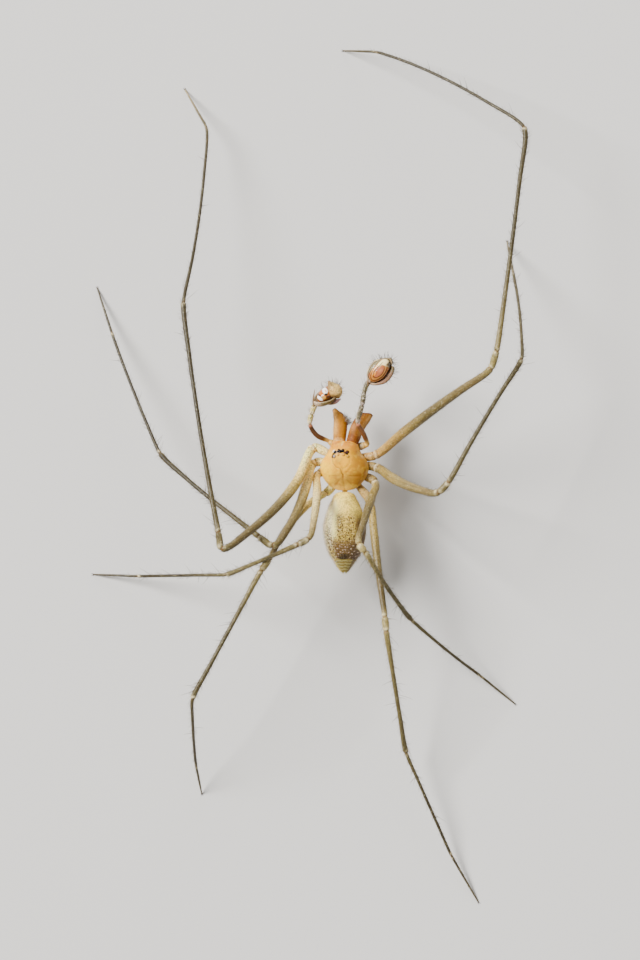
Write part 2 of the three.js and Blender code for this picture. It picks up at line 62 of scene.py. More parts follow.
# Front of the body: its place, its lean about y, and its carapace's stations, each with how far
# forward it lies, its half width, the height of the dome over the rim, and the rim's height
PROSOMA_PLACE = (0.81, 0.23, 1.3)
PROSOMA_LEAN = math.radians(-12)
CARAPACE_STATIONS = [
    (-0.565, 0.05, 0.02, 0.15), (-0.54, 0.2, 0.06, 0.14), (-0.46, 0.335, 0.14, 0.14),
    (-0.3, 0.475, 0.26, 0.14), (-0.08, 0.56, 0.355, 0.14), (0.12, 0.52, 0.395, 0.14),
    (0.28, 0.4, 0.41, 0.14), (0.42, 0.33, 0.37, 0.14), (0.52, 0.3, 0.28, 0.1),
    (0.575, 0.285, 0.23, 0.05),
]
CARAPACE_FLOOR = 0.02
# Breast plate: its half width and half length, and its outline's shares of these by height
STERNUM = (0.25, 0.4)
STERNUM_EDGE = [(0.02, -0.14), (0.5, -0.137), (0.85, -0.115), (1.0, -0.05), (1.0, 0.06), (0.9, 0.1),
                (0.02, 0.1)]
LABIUM = ((0, 0.42, -0.07), (0.07, 0.06, 0.05))

# Eyes: how far out, how far forward, the radius, and the tones of the left and the right one
EYES = {
    "eye_front_middle": (0.048, 0.36, 0.032, "#0a0503", "#0a0503"),
    "eye_front_outer": (0.145, 0.318, 0.037, "#120806", "#3c1a12"),
    "eye_rear_middle": (0.062, 0.262, 0.037, "#c68a34", "#c68a34"),
    # The left rear outer eye's pale tone is partly its own pearly lens and partly a painted reflection of
    # the light
    "eye_rear_outer": (0.158, 0.222, 0.037, "#a08c82", "#b8862c"),
}
EYE_SINKING = 0.3
# Low mound by the left front middle eye: its place in plan and its radii
EYE_MOUND = ((-0.015, 0.335), (0.075, 0.034, 0.04))

# Jaws and fangs
CHELICERA_LINES = {
    "left": [(-0.128, 0.5, 0.13), (-0.136, 0.9, -0.05), (-0.16, 1.12, -0.15), (-0.262, 1.31, -0.25)],
    "right": [(0.166, 0.5, 0.13), (0.262, 0.86, -0.03), (0.36, 1.04, -0.11), (0.52, 1.23, -0.18)],
}
CHELICERA_WIDTH = (0.138, 0.148, 0.156, 0.16, 0.16, 0.152, 0.13)
CHELICERA_DEPTH = (0.13, 0.15, 0.16, 0.155, 0.14, 0.115, 0.09)
FANG = {"reach": 0.2, "back": 0.14, "drop": 0.07, "radii": (0.035, 0.026, 0.006)}

# Abdomen: place along y, half width, height over the axis, depth under it, height of the axis
ABDOMEN_X = 0.782
ABDOMEN_STATIONS = [
    (-0.362, 0.03, 0.03, 0.03, 1.44), (-0.375, 0.13, 0.1, 0.09, 1.435),
    (-0.42, 0.222, 0.17, 0.15, 1.43), (-0.54, 0.29, 0.27, 0.24, 1.42),
    (-0.82, 0.418, 0.38, 0.35, 1.4), (-1.14, 0.497, 0.43, 0.4, 1.38),
    (-1.45, 0.475, 0.43, 0.4, 1.36), (-1.75, 0.387, 0.36, 0.33, 1.33),
    (-1.92, 0.285, 0.27, 0.25, 1.3), (-2.08, 0.175, 0.17, 0.16, 1.27),
    (-2.21, 0.085, 0.075, 0.07, 1.25),
]
PEDICEL = [(0.79, -0.1, 1.28), (0.79, -0.6, 1.36)]
PEDICEL_RADIUS = 0.065
SPINNERET_PAD = ((0.782, -2.02, 1.14), (0.12, 0.12, 0.09))
# Pairs of spinnerets: how far out, how high on the pad, the radii and the reach
SPINNERET_PAIRS = [
    (0.06, -0.045, (0.04, 0.036, 0.018), 0.17), (0.075, 0.045, (0.034, 0.03, 0.015), 0.18),
    (0.024, 0.01, (0.02, 0.016, 0.009), 0.15),
]
TAIL_CONES = (-0.03, 0.034)

# Feelers: the arm's places, the cup's middle, and the ways it lies along and opens
PALP_ROOT = (0.13, 0.4, -0.06)
PALP_LOBE = ((0.165, 0.53, -0.13), (0.07, 0.11, 0.06))
PALPS = {
    "left": ([(0.43, 0.8, 1.22), (0.13, 0.95, 1.4), (-0.015, 1.2, 1.52), (0.025, 1.42, 1.6),
              (0.12, 1.65, 1.66)], (0.38, 1.88, 1.7), (0.72, 0.62, -0.25), (-0.75, 0.4, 0.5)),
    "right": ([(1.32, 0.73, 1.4), (1.22, 0.97, 1.6), (1.09, 1.22, 1.72), (1.185, 1.63, 1.82),
               (1.295, 2.1, 1.87)], (1.6, 2.41, 1.9), (0.66, 0.75, 0.06), (-0.1, 0, 1)),
}
PALP_BASE_RADII = (0.07, 0.078, 0.068, 0.058)
PALP_FEMUR_RADII = (0.046, 0.058, 0.056, 0.046)
PALP_TIBIA_RADII = (0.048, 0.056, 0.056, 0.058, 0.066, 0.075)
CUP_RADII = np.array([0.27, 0.385, 0.2])
CUP_WALL = 0.055
CUP_RIM = 0.06
BULB_LIFT = 0.09

# Legs: the joints of each with its tip in plan, how far and where its thigh, shin and foot bow,
# and how light it is painted at three places of the thigh, then at the knee, the shin, the foot and
# the tip, which is partly its own tone and partly painted light and shade
TIP_HEIGHT = 0.008
ROOT_ANGLES = {1: 54, 2: 84, 3: 112, 4: 141}
ROOT_DEPTH = 0.8
LEGS = {
    "leg_left_1": (
        [(0.02, 0.7, 1.17), (-2.05, -1.71, 4.05), (-2.11, -1.29, 3.8), (-2.93, 3.98, 2.35),
         (-2.38, 8.01, 0.75), (-2.9, 8.92)],
        [(0.235, -0.218, 0.12, 0.42), (-0.058, 0, 0.1), (0.1, 0, 0.06)],
        (2.0, 0.58, 0.78, 0.75, 0.3, 0.32, 0.7),
    ),
    "leg_left_2": (
        [(0.065, 0.34, 1.16), (-0.86, -1.64, 3.1), (-1.2, -1.38, 3.05), (-3.46, 0.5, 1.45),
         (-4.58, 3.3, 0.4), (-4.92, 4.34)],
        [(0.135, -0.06, 0.12, 0.57), (-0.027, -0.036, 0.06, 0.6), (-0.035, 0, 0.05)],
        (1.75, 1.15, 0.78, 1.25, 0.28, 0.18, 0.16),
    ),
    "leg_left_3": (
        [(0.15, 0.08, 1.18), (-0.02, -1.44, 3.3), (-0.3, -1.575, 3.28), (-1.92, -2.27, 1.72),
         (-3.98, -2.31, 0.33), (-5.02, -2.27)],
        [(0.062, 0, 0.09), (-0.01, -0.012, 0.08), (0, 0, 0.04)],
        (1.4, 1.85, 1.9, 0.95, 2.0, 0.25, 0.16),
    ),
    "leg_left_4": (
        [(0.35, -0.42, 1.2), (-0.94, -1.91, 2.5), (-1.14, -2.18, 2.5), (-2.72, -5.11, 2.35),
         (-2.64, -6.66, 0.7), (-2.51, -7.33)],
        [(-0.135, 0.125, 0.1, 0.42), (0, 0, 0.06), (-0.02, 0, 0.04)],
        (2.2, 0.7, 0.62, 2.1, 0.9, 0.55, 0.3),
    ),
    "leg_right_1": (
        [(1.51, 0.46, 1.42), (4.14, 2.44, 3.75), (4.27, 2.88, 3.85), (4.94, 8.02, 2.5),
         (1.51, 9.77, 0.85), (0.75, 9.81)],
        [(-0.035, 0.05, 0.12, 0.42), (0.03, 0, 0.1), (-0.088, 0.215, 0.06)],
        (0.65, 0.46, 1.15, 1.9, 0.6, 0.33, 0.25),
    ),
    "leg_right_2": (
        [(1.53, 0.21, 1.45), (2.93, -0.4, 3.7), (3.18, -0.13, 3.75), (4.85, 2.67, 3.3),
         (4.67, 4.67, 0.95), (4.53, 5.41)],
        [(-0.04, -0.11, 0.12), (-0.03, 0.02, 0.06), (0.055, 0, 0.05)],
        (0.36, 0.85, 1.25, 1.05, 0.72, 0.8, 0.42),
    ),
    "leg_right_3": (
        [(1.525, -0.13, 1.42), (1.075, -1.54, 2.9), (1.265, -1.745, 2.85), (2.3, -3.29, 1.4),
         (3.91, -4.6, 0.38), (4.72, -5.26)],
        [(-0.005, 0, 0.1), (-0.03, -0.03, 0.04), (-0.02, -0.025, 0.04)],
        (0.45, 0.48, 0.8, 3.2, 1.1, 0.65, 0.25),
    ),
    "leg_right_4": (
        [(1.39, -0.58, 1.33), (1.71, -3.22, 2.1), (1.74, -3.58, 2.15), (2.19, -6.36, 0.8),
         (3.24, -8.74, 0.25), (3.87, -9.83)],
        [(-0.02, 0, 0.1), (0, 0, 0.05), (0, 0, 0.03)],
        (0.6, 0.75, 0.62, 2.2, 1.75, 0.35, 0.2),
    ),
}
LEG_RADII = {
    "coxa": (0.056, 0.076, 0.104, 0.096), "femur": (0.085, 0.1, 0.084, 0.066),
    "patella": (0.07, 0.08, 0.08, 0.068), "tibia": (0.066, 0.052, 0.048, 0.062),
    "metatarsus": (0.042, 0.036, 0.034, 0.034), "tarsus": (0.03, 0.028, 0.024, 0.015),
}
BOWED = ("femur", "tibia", "metatarsus")
FEMUR_GIRTH = {1: 1.17, 2: 1.16, 3: 1, 4: 0.95}
# How near a joint the line starts to bend, the span that one middle place is enough for, and how
# far the ring beyond the hip lies from it
BEND_REACH = 0.11
SHORT_SPAN = 0.8
TROCHANTER = 0.12

# Fineness of the lines and skins
LINE_STEPS, TABLE_STEPS, FINE_STEPS = 48, 24, 12
LEG_SIDES = 32
LEG_STEP, JOINT_STEP, JOINT_SPAN = 0.055, 0.009, 0.1
BODY_SIDES, CARAPACE_ROWS, ABDOMEN_ROWS = 220, 210, 260
PLATE_SIDES, PLATE_ROWS = 72, 40
JAW_SIDES, JAW_ROWS = 56, 110
ARM_ROWS = 220
CUP_SIDES, CUP_OUTER_ROWS, CUP_INNER_ROWS = 128, 44, 40
BULB_SIDES, BULB_ROWS = 160, 120


def rgb(code):
    """Linear colour of a hex code."""
    parts = np.array([int(code[at:at + 2], 16) for at in (1, 3, 5)]) / 255
    return np.where(parts <= 0.04045, parts / 12.92, ((parts + 0.055) / 1.055) ** 2.4)


def unit(vectors):
    return vectors / np.maximum(np.linalg.norm(vectors, axis=-1, keepdims=True), 1e-12)


def bell(values, centre, width):
    return np.exp(-(((values - centre) / width) ** 2))


def step(values, low, high):
    """Smooth rise from 0 at low to 1 at high."""
    part = np.clip((values - low) / (high - low), 0, 1)
    return part * part * (3 - 2 * part)


def fall(values, low, high):
    """Smooth fall from 1 at low to 0 at high."""
    return 1 - step(values, low, high)


def window(values, low, near, far, high):
    """Rise from 0 at low to 1 at near, and fall from 1 at far to 0 at high."""
    return step(values, low, near) * fall(values, far, high)


def wave(values):
    """Even wave from 1 down to 0 and back, once for each whole number."""
    return 0.5 + 0.5 * np.cos(values * TAU)


def dot(x, y, middle, size):
    """Round soft dot in plan."""
    return bell(np.hypot(x - middle[0], y - middle[1]), 0, size)


def layered(paint, *layers):
    """Paint under layers, each of a colour and a mask that says how far it covers."""
    for tone, mask in layers:
        paint = paint + (rgb(tone) - paint) * np.clip(mask, 0, 1)[..., None]
    return paint


def painted(tone, grid, *layers):
    """One colour for each place of a grid, under layers."""
    return layered(np.zeros((*grid.shape[:2], 3)) + rgb(tone), *layers)


def mirrored(place, side):
    return (-place[0] if side == "left" else place[0], *place[1:])


PROSOMA_TURN = np.array(Matrix.Rotation(PROSOMA_LEAN, 3, "Y"))


def in_world(points):
    """Places in the frame of the body's front, turned to the whole's frame."""
    return np.asarray(points, float) @ PROSOMA_TURN.T + np.array(PROSOMA_PLACE)


class Line:
    """A smooth line through places, by distance along it."""

    def __init__(self, places, steps=LINE_STEPS):
        places = [np.array(place, float) for place in places]
        padded = [2 * places[0] - places[1], *places, 2 * places[-1] - places[-2]]
        parts = np.linspace(0, 1, steps, endpoint=False)[:, None]
        dense = [self.span(padded[at:at + 4], parts) for at in range(len(places) - 1)]
        self.steps = steps
        self.dense = np.vstack([*dense, places[-1]])
        moves = np.linalg.norm(np.diff(self.dense, axis=0), axis=1)
        self.distances = np.concatenate([[0], np.cumsum(moves)])
        self.length = self.distances[-1]

    @staticmethod
    def span(places, parts):
        """Points between the middle two of four places, by the centripetal rule."""
        near, gap, far = [np.sqrt(np.linalg.norm(b - a)) for a, b in zip(places, places[1:])]
        a, b, c, d = places
        leaving = ((b - a) / near - (c - a) / (near + gap) + (c - b) / gap) * gap
        coming = ((c - b) / gap - (d - b) / (gap + far) + (d - c) / far) * gap
        square = -3 * b + 3 * c - 2 * leaving - coming
        cube = 2 * b - 2 * c + leaving + coming
        return b + leaving * parts + square * parts ** 2 + cube * parts ** 3

    def mark(self, count):
        """Distance of a place counted in the line's own places."""
        return self.distances[round(count * self.steps)]

    def point(self, at):
        return np.stack([np.interp(at, self.distances, values) for values in self.dense.T], -1)

    def frames(self, at):
        """Direction, across and up at distances along the line, turned without a twist."""
        reach = self.length * 0.002
        ahead = self.point(np.minimum(at + reach, self.length))
        direction = unit(ahead - self.point(np.maximum(at - reach, 0)))
        across = np.empty_like(direction)
        last = unit(np.cross((0, 0, 1), direction[0]))
        for i, way in enumerate(direction):
            last = unit(last - way * (last @ way))
            across[i] = last
        return direction, across, np.cross(direction, across)


def along(values, part):
    return np.interp(part, np.linspace(0, 1, len(values)), values)


def smooth_rows(rows, count):
    """Rows of numbers drawn out to count rows on a smooth line through them."""
    line = Line(rows, TABLE_STEPS)
    return line.point(np.linspace(0, 1, count) * line.length)


def placed(name, data):
    made = bpy.data.objects.new(name, data)
    bpy.context.scene.collection.objects.link(made)
    return made


# Meshes
def mesh_object(name, points, faces, finish, replaced, fields, patches=None):
    """A piece from points in millimetres and arrays of triangles or quads. The fields are
    numbers or colours for each point, and the patches its places on the bake's map."""
    mesh = bpy.data.meshes.new(name)
    corners = np.concatenate([face.ravel() for face in faces])
    sizes = np.concatenate([np.full(len(face), face.shape[1]) for face in faces])
    starts = np.concatenate([[0], np.cumsum(sizes)[:-1]])
    whole = [(mesh.vertices, "co", points * MM, np.float32),
             (mesh.loops, "vertex_index", corners, np.int32),
             (mesh.polygons, "loop_start", starts, np.int32)]
    for part, member, values, kind in whole:
        part.add(len(values))
        part.foreach_set(member, values.astype(kind).ravel())
    mesh.polygons.foreach_set("use_smooth", np.ones(len(starts), bool))
    for key, values in fields.items():
        kind, member = "FLOAT", "value"
        if values.ndim == 2:
            kind, member = "FLOAT_COLOR", "color"
            values = np.concatenate([values, np.ones((len(values), 1))], 1)
        data = mesh.attributes.new(key, kind, "POINT").data
        data.foreach_set(member, values.astype(np.float32).ravel())
    if patches is not None:
        layer = mesh.uv_layers.new(name="OFBake")
        layer.data.foreach_set("uv", patches[corners].astype(np.float32).ravel())
    mesh.update(calc_edges=True)
    mesh.materials.append(FINISHES[finish])
    made = placed(name, mesh)
    if replaced:
        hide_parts(*replaced)
    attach(made, "root")


def volume(points, faces):
    total = 0
    for face in faces:
        for at in range(1, face.shape[1] - 1):
            a, b, c = points[face[:, 0]], points[face[:, at]], points[face[:, at + 1]]
            total += (a * np.cross(b, c)).sum()
    return total


def piece(name, finish, replaced, *skins):
    """Skins, closed with a middle point at each end, gathered into one piece."""
    points, faces, fields, start = [], [], {}, 0
    for skin in skins:
        count, sides = skin.rings.shape[:2]
        last = count * sides
        own = np.vstack([skin.rings.reshape(-1, 3), skin.rings[0].mean(0), skin.rings[-1].mean(0)])
        index = np.arange(last).reshape(count, sides)
        after = np.roll(index, -1, 1)
        made = [np.stack([index[:-1], after[:-1], after[1:], index[1:]], -1).reshape(-1, 4),
                np.stack([np.full(sides, last), after[0], index[0]], -1),
                np.stack([np.full(sides, last + 1), index[-1], after[-1]], -1)]
        turn = -1 if volume(own, made) < 0 else 1
        faces += [face[:, ::turn] + start for face in made]
        for key, values in skin.fields.items():
            values = values.reshape(last, *values.shape[2:])
            fields.setdefault(key, []).append(np.concatenate([values, values[:1], values[-1:]]))
        points.append(own)
        start += len(own)
    fields = {key: np.concatenate(values) for key, values in fields.items()}
    mesh_object(name, np.vstack(points), faces, finish, replaced, fields)


class Skin:
    """A skin over rings of points, with a colour, a share of flecks and other numbers for each."""

    def __init__(self, rings, **fields):
        self.rings, self.fields = rings, fields
        self.lengthwise = unit(np.gradient(rings, axis=0))
        around = np.roll(rings, -1, 1) - np.roll(rings, 1, 1)
        normals = unit(np.cross(around, self.lengthwise))
        outward = (normals * (rings - rings.mean(1, keepdims=True))).sum()
        self.normals = normals * np.sign(outward)

    def spread(self, count, weight, rng):
        """Rows and columns of places drawn by the skin's area times a weight."""
        near, far = self.rings[:-1], self.rings[1:]
        area = np.linalg.norm(np.cross(np.roll(near, -1, 1) - near, far - near), axis=-1)
        chance = (area * weight[:-1]).ravel()
        chosen = rng.choice(chance.size, count, p=chance / chance.sum())
        sides = self.rings.shape[1]
        return chosen // sides + rng.random(count), chosen % sides + rng.random(count)

    def at(self, row, column, values):
        """Values for each point of the skin, read between its points."""
        count, sides = self.rings.shape[:2]
        low = np.clip(row.astype(int), 0, count - 2)
        left = column.astype(int) % sides
        right = (left + 1) % sides
        down, over = (row - low)[:, None], (column - np.floor(column))[:, None]
        upper, lower = [values[at, left] * (1 - over) + values[at, right] * over for at in (low, low + 1)]
        return upper * (1 - down) + lower * down


def coloured(rings, fleck, tone, *layers):
    """A skin with one share of flecks, of one colour under layers."""
    return Skin(rings, paint=painted(tone, rings, *layers), fleck=np.full(rings.shape[:2], fleck))


def ring_angles(sides):
    return np.linspace(0, TAU, sides, endpoint=False)


def limb_rings(line, at, radii, depths=None, sides=LEG_SIDES):
    """Rings round a line at distances along it, with the angle of each point."""
    _, across, up = line.frames(at)
    angles = ring_angles(sides)
    depths = radii if depths is None else depths
    wide = across[:, None] * (np.cos(angles)[None, :, None] * radii[:, None, None])
    high = up[:, None] * (np.sin(angles)[None, :, None] * depths[:, None, None])
    return line.point(at)[:, None] + wide + high, np.broadcast_to(angles, (len(at), sides))


def tube(places, radii, rows, sides, steps=LINE_STEPS, swell=lambda at: 1):
    """Rows of rings round a smooth line through places, and how far along it each lies."""
    line = Line(places, steps)
    at = np.linspace(0, line.length, rows)
    rings, _ = limb_rings(line, at, along(radii, at / line.length) * swell(at), sides=sides)
    return rings, at


def ball(place, radii, sides=32, rows=18):
    """Rings of an ellipsoid, from its front end to its rear."""
    lat = np.linspace(0.02, math.pi - 0.02, rows)[:, None]
    angles = ring_angles(sides)
    x, z = np.sin(lat) * np.cos(angles), np.sin(lat) * np.sin(angles)
    return np.stack([x, np.cos(lat) + 0 * x, z], -1) * np.array(radii) + np.array(place)


# Materials
SCATTER_DEPTH = 0.06
SCATTER_SHARES = (1.0, 0.55, 0.25)
COAT_ROUGHNESS = 0.12


def node(tree, kind, settings=None, **inputs):
    made = tree.nodes.new("ShaderNode" + kind)
    for key, value in (settings or {}).items():
        setattr(made, key, value)
    for key, value in inputs.items():
        socket = made.inputs[int(key[1:])] if key[0] == "_" else made.inputs[key.replace("_", " ")]
        if isinstance(value, bpy.types.NodeSocket):
            tree.links.new(value, socket)
        else:
            socket.default_value = value
    return made


def field_node(tree, name, output):
    return node(tree, "Attribute", {"attribute_name": name}).outputs[output]


def marks_shown(tree, place, kind, size, low, high):
    """Where marks show: patches or streaks of noise, or dots in the middles of cells. The size
    is how many of them lie along a millimetre."""
    if kind == "dots":
        cells = node(tree, "TexVoronoi", {"feature": "F1"}, Vector=place, Scale=size)
        value, low, high = cells.outputs["Distance"], high, low
    else:
        if kind == "streaks":
            place = field_node(tree, "course", "Vector")
        value = node(tree, "TexNoise", Vector=place, Scale=size, Detail=3.0).outputs["Fac"]
    return node(tree, "MapRange", Value=value, From_Min=low, From_Max=high).outputs[0]


def material(name, roughness, bump, marks, scatter=0.15, coat=0.0, gloss=0.28, base=None):
    """A finish over the painted colours, with the fineness and the height of its bumps. Each
    kind of marks has its form, its colour, its size, the low and high that it fades between, and
    the skin's field that says how far it shows."""
    made = bpy.data.materials.new(name)
    made.use_nodes = True
    tree = made.node_tree
    tree.nodes.clear()
    place = node(tree, "TexCoord").outputs["Object"]
    place = node(tree, "VectorMath", {"operation": "SCALE"}, Vector=place, Scale=1 / MM)
    place = place.outputs[0]
    colour = (*rgb(base), 1) if base else field_node(tree, "paint", "Color")
    for kind, tint, size, low, high, field in marks:
        shown = marks_shown(tree, place, kind, size, low, high)
        share = field_node(tree, field, "Fac")
        shown = node(tree, "Math", {"operation": "MULTIPLY", "use_clamp": True},
                     _0=shown, _1=share).outputs[0]
        colour = node(tree, "Mix", {"data_type": "RGBA"}, _0=shown, _6=colour,
                      _7=(*rgb(tint), 1)).outputs[2]
    grain = node(tree, "TexNoise", Vector=place, Scale=bump[0], Detail=2.0)
    relief = node(tree, "Bump", Height=grain.outputs["Fac"], Distance=bump[1] * MM,
                  Strength=1.0)
    shader = node(tree, "BsdfPrincipled", Base_Color=colour, Roughness=roughness,
                  Specular_IOR_Level=gloss, Normal=relief.outputs[0], Subsurface_Weight=scatter,
                  Subsurface_Radius=SCATTER_SHARES, Subsurface_Scale=SCATTER_DEPTH * MM,
                  Coat_Weight=coat, Coat_Roughness=COAT_ROUGHNESS)
    node(tree, "OutputMaterial", Surface=shader.outputs[0])
    return made


# Finishes: roughness, bumps, marks, and where they aren't the usual ones also the scatter, the
# coat, the gloss and one even colour
FINISH_ROWS = {
    "leg": (0.42, (55, 0.004), [
        ("streaks", "#40341a", 50, 0.5, 0.72, "fleck"), ("patches", "#4d4526", 22, 0.5, 0.64, "fleck"),
        ("patches", "#fff0c4", 32, 0.58, 0.7, "gleam"), ("dots", "#33240e", 26, 0.26, 0.42, "fleck")]),
    "shield": (0.4, (45, 0.0018), [
        ("patches", "#a85d12", 11, 0.5, 0.85, "fleck"), ("patches", "#ffd040", 7, 0.52, 0.8, "fleck"),
        ("patches", "#9a5410", 34, 0.54, 0.72, "net")]),
    "jaw": (0.5, (48, 0.005), [
        ("patches", "#7d4710", 24, 0.5, 0.78, "fleck"), ("patches", "#e6a24a", 40, 0.6, 0.74, "fleck"),
        ("dots", "#4a2408", 26, 0.16, 0.32, "fleck")], 0.15, 0.0, 0.15),
    "breast": (0.4, (50, 0.002), [("patches", "#7a4a1c", 16, 0.5, 0.8, "fleck")]),
    "belly": (0.48, (36, 0.004), [
        ("patches", "#8d6a2c", 14, 0.48, 0.7, "net"), ("dots", "#7a5a22", 25, 0.26, 0.42, "fleck"),
        ("patches", "#8a6430", 40, 0.5, 0.6, "specks"), ("dots", "#4a3014", 22, 0.34, 0.46, "specks"),
        ("dots", "#ffe9a8", 24, 0.2, 0.36, "spots")], 0.25),
    "palp": (0.4, (70, 0.004), [
        ("streaks", "#3a2c1a", 40, 0.48, 0.66, "fleck"), ("patches", "#efe0c8", 34, 0.54, 0.7, "gleam")]),
    "cup": (0.42, (60, 0.003), [
        ("patches", "#6a5226", 22, 0.46, 0.62, "fleck"), ("patches", "#4a3618", 40, 0.5, 0.6, "fleck")]),
    "bulb": (0.26, (40, 0.001), [("patches", "#7a3a10", 18, 0.55, 0.8, "fleck")], 0.15, 0.3),
    "eye": (0.14, (20, 0.0001), [], 0.0, 0.12, 0.08),
    "claw": (0.3, (80, 0.001), [], 0.15, 0.0, 0.28, "#2c150a"),
    "fang": (0.25, (50, 0.0005), [("patches", "#2a0c05", 20, 0.4, 0.7, "fleck")], 0.15, 0.3),
    "hair": (0.5, (90, 0.0005), [], 0.0),
    "floor": (0.65, (3, 0.002), [], 0.0, 0.0, 0.28, "#cfccc7"),
}
FINISHES = {name: material(f"{name}_finish", *row) for name, row in FINISH_ROWS.items()}


# Hairs: the shares of their length where they bend, how deep their roots lie, how far they
# taper, how much they bend, the length of those that have their coat's own width, and the side
# of a hair's patch on the bake's map
HAIR_STEPS = (0, 0.35, 0.7, 1)
HAIR_ROOT = 0.006
HAIR_TAPER = 0.75
HAIR_CURL = 0.35
USUAL_HAIR = 0.12
PATCH = 0.003


def hairs(name, slot, skin, rng, count, weight, length, width=0.0028, lean=(0.4, 0.9),
          tone="#5a4420", own=0.4, spray=0.35):
    """A coat of thin bent hairs, one closed shape each, that lean along a skin."""
    row, column = skin.spread(count, weight, rng)
    root = skin.at(row, column, skin.rings)
    out = unit(skin.at(row, column, skin.normals))
    way = unit(skin.at(row, column, skin.lengthwise))
    way = unit(way + spray * rng.normal(size=(count, 1)) * np.cross(out, way))
    long = length(skin, row, rng) if callable(length) else rng.uniform(*length, count)
    angle = rng.uniform(*lean, count)
    bend = HAIR_CURL * rng.uniform(0.3, 1.2, count)
    centres, ways = [root - out * HAIR_ROOT], []
    fine = np.diff(HAIR_STEPS)
    for part, stretch in zip(HAIR_STEPS, [*fine, fine[-1]]):
        turn = (angle + bend * part)[:, None]
        ways.append(unit(out * np.cos(turn) + way * np.sin(turn)))
        if len(centres) < len(HAIR_STEPS):
            centres.append(centres[-1] + ways[-1] * (long * stretch)[:, None])
    thick = width * np.clip(long / USUAL_HAIR, 0.6, 1.6)
    side = unit(np.cross(out, way))
    rings = []
    for centre, direction, part in zip(centres[:-1], ways[:-1], HAIR_STEPS[:-1]):
        up = np.cross(direction, side)
        size = (thick * (1 - HAIR_TAPER * part))[:, None]
        for turn in (0, TAU / 3, 2 * TAU / 3):
            rings.append(centre + (side * math.cos(turn) + up * math.sin(turn)) * size)
    points = np.stack([*rings, centres[-1]], 1)
    shade = rng.uniform(0.7, 1.3, (count, 1))
    paint = skin.at(row, column, skin.fields["paint"]) * own + rgb(tone) * (1 - own)
    rows, sides = skin.rings.shape[:2]
    place = np.stack([column / sides, row / (rows - 1)], -1) * (1 - 4 * PATCH) + 2 * PATCH
    above = points[..., 2].min(1) > 0
    points, paint, place = points[above], np.clip(paint * shade, 0, 1)[above], place[above]
    per = points.shape[1]
    tip = per - 1
    quads, triangles = [], [(2, 1, 0)]
    for ring in range(len(HAIR_STEPS) - 2):
        for turn in range(3):
            a, b = 3 * ring + turn, 3 * ring + (turn + 1) % 3
            quads.append((a, b, b + 3, a + 3))
    triangles += [(tip - 3 + turn, tip - 3 + (turn + 1) % 3, tip) for turn in range(3)]
    base = (np.arange(len(points)) * per)[:, None, None]
    kinds = [np.array(quads), np.array(triangles)]
    turn = -1 if volume(points[0], kinds) < 0 else 1
    faces = [(kind[None] + base).reshape(-1, kind.shape[1])[:, ::turn] for kind in kinds]
    corner = np.array([((at % 3) / 2 - 0.5, at // 3 / (per // 3) - 0.5) for at in range(per)])
    patches = (place[:, None] + corner[None] * PATCH).reshape(-1, 2)
    fields = {"paint": np.repeat(paint, per, 0)}
    mesh_object(name, points.reshape(-1, 3), faces, "hair", (), fields, patches)


# Legs. The tones are of the root, the hip, three places of the thigh, the knee, the upper end
# and the middle of the shin, the ankle, the middle of the foot, the heel and the tip.
LEG_TONES = ["#e8c46e", "#e3bd62", "#dcb95a", "#94804a", "#6e5c34", "#6f6236", "#665a34", "#4f4628",
             "#5f5533", "#4f4730", "#625941", "#b5a27a"]
PALE_JOINT = "#f0dfae"
JOINT_LINE = "#6b3c16"
CLAW_RADII = (0.007, 0.0012)
CLAW_HEIGHT = 0.012
HAIRS_PER_MM = 150
# Dark lines down the thigh: the angle round it and the strength
THIGH_LINES = ((1.2, 0.65), (2.1, 0.4))
# Usual length of the hairs at the root, the hip, the middle of the thigh and each later joint
HAIR_LENGTHS = [0.02, 0.03, 0.06, 0.08, 0.11, 0.12, 0.09, 0.04]


def leg_root(side, pair):
    angle = math.radians(ROOT_ANGLES[pair])
    across, forward = ROOT_DEPTH * STERNUM[0] * math.sin(angle), ROOT_DEPTH * STERNUM[1] * math.cos(angle)
    return in_world(mirrored((across, forward, 0), side))


def leg_line(root, joints, bows):
    """Centre line of a leg, with the distance along it of each joint."""
    *upper, tip = joints
    places = [np.array(joint, float) for joint in (root, *upper, (*tip, TIP_HEIGHT))]
    bows = dict(zip(BOWED, bows))
    points, marks = [], [0]
    for at, name in enumerate(LEG_RADII):
        start, end = places[at], places[at + 1]
        span = np.linalg.norm(end - start)
        bow = bows.get(name, (0, 0, 0))
        power = math.log(0.5) / math.log((*bow, 0.5)[3])
        near = 0 if at == 0 else BEND_REACH / span
        far = 1 if at == len(LEG_RADII) - 1 else 1 - BEND_REACH / span
        middles = [0.5] if span < SHORT_SPAN else [0.25, 0.5, 0.75]
        for part in [near, *middles, far]:
            share = 4 * part ** power * (1 - part ** power)
            points.append(start + (end - start) * part + np.array(bow[:3]) * share)
        marks.append(len(points) - 1 if far == 1 else len(points) - 0.5)
    line = Line(points)
    return line, [line.mark(mark) for mark in marks]


def joint_profile(gap, waist=0.2):
    """Radius near a joint: a lip, then a narrow neck, then a shoulder."""
    neck = -waist * bell(gap, 0, 0.018)
    return 1 + neck + 0.06 * bell(gap, -0.05, 0.03) + 0.04 * bell(gap, 0.055, 0.035)


def leg_stops(line, joints):
    at = [np.arange(0, line.length, LEG_STEP), [line.length]]
    for joint in joints[1:-1]:
        at.append(np.arange(joint - JOINT_SPAN, joint + JOINT_SPAN, JOINT_STEP))
    stops = np.unique(np.clip(np.concatenate(at), 0, line.length))
    return stops[np.concatenate([[True], np.diff(stops) > JOINT_STEP * 0.45])]


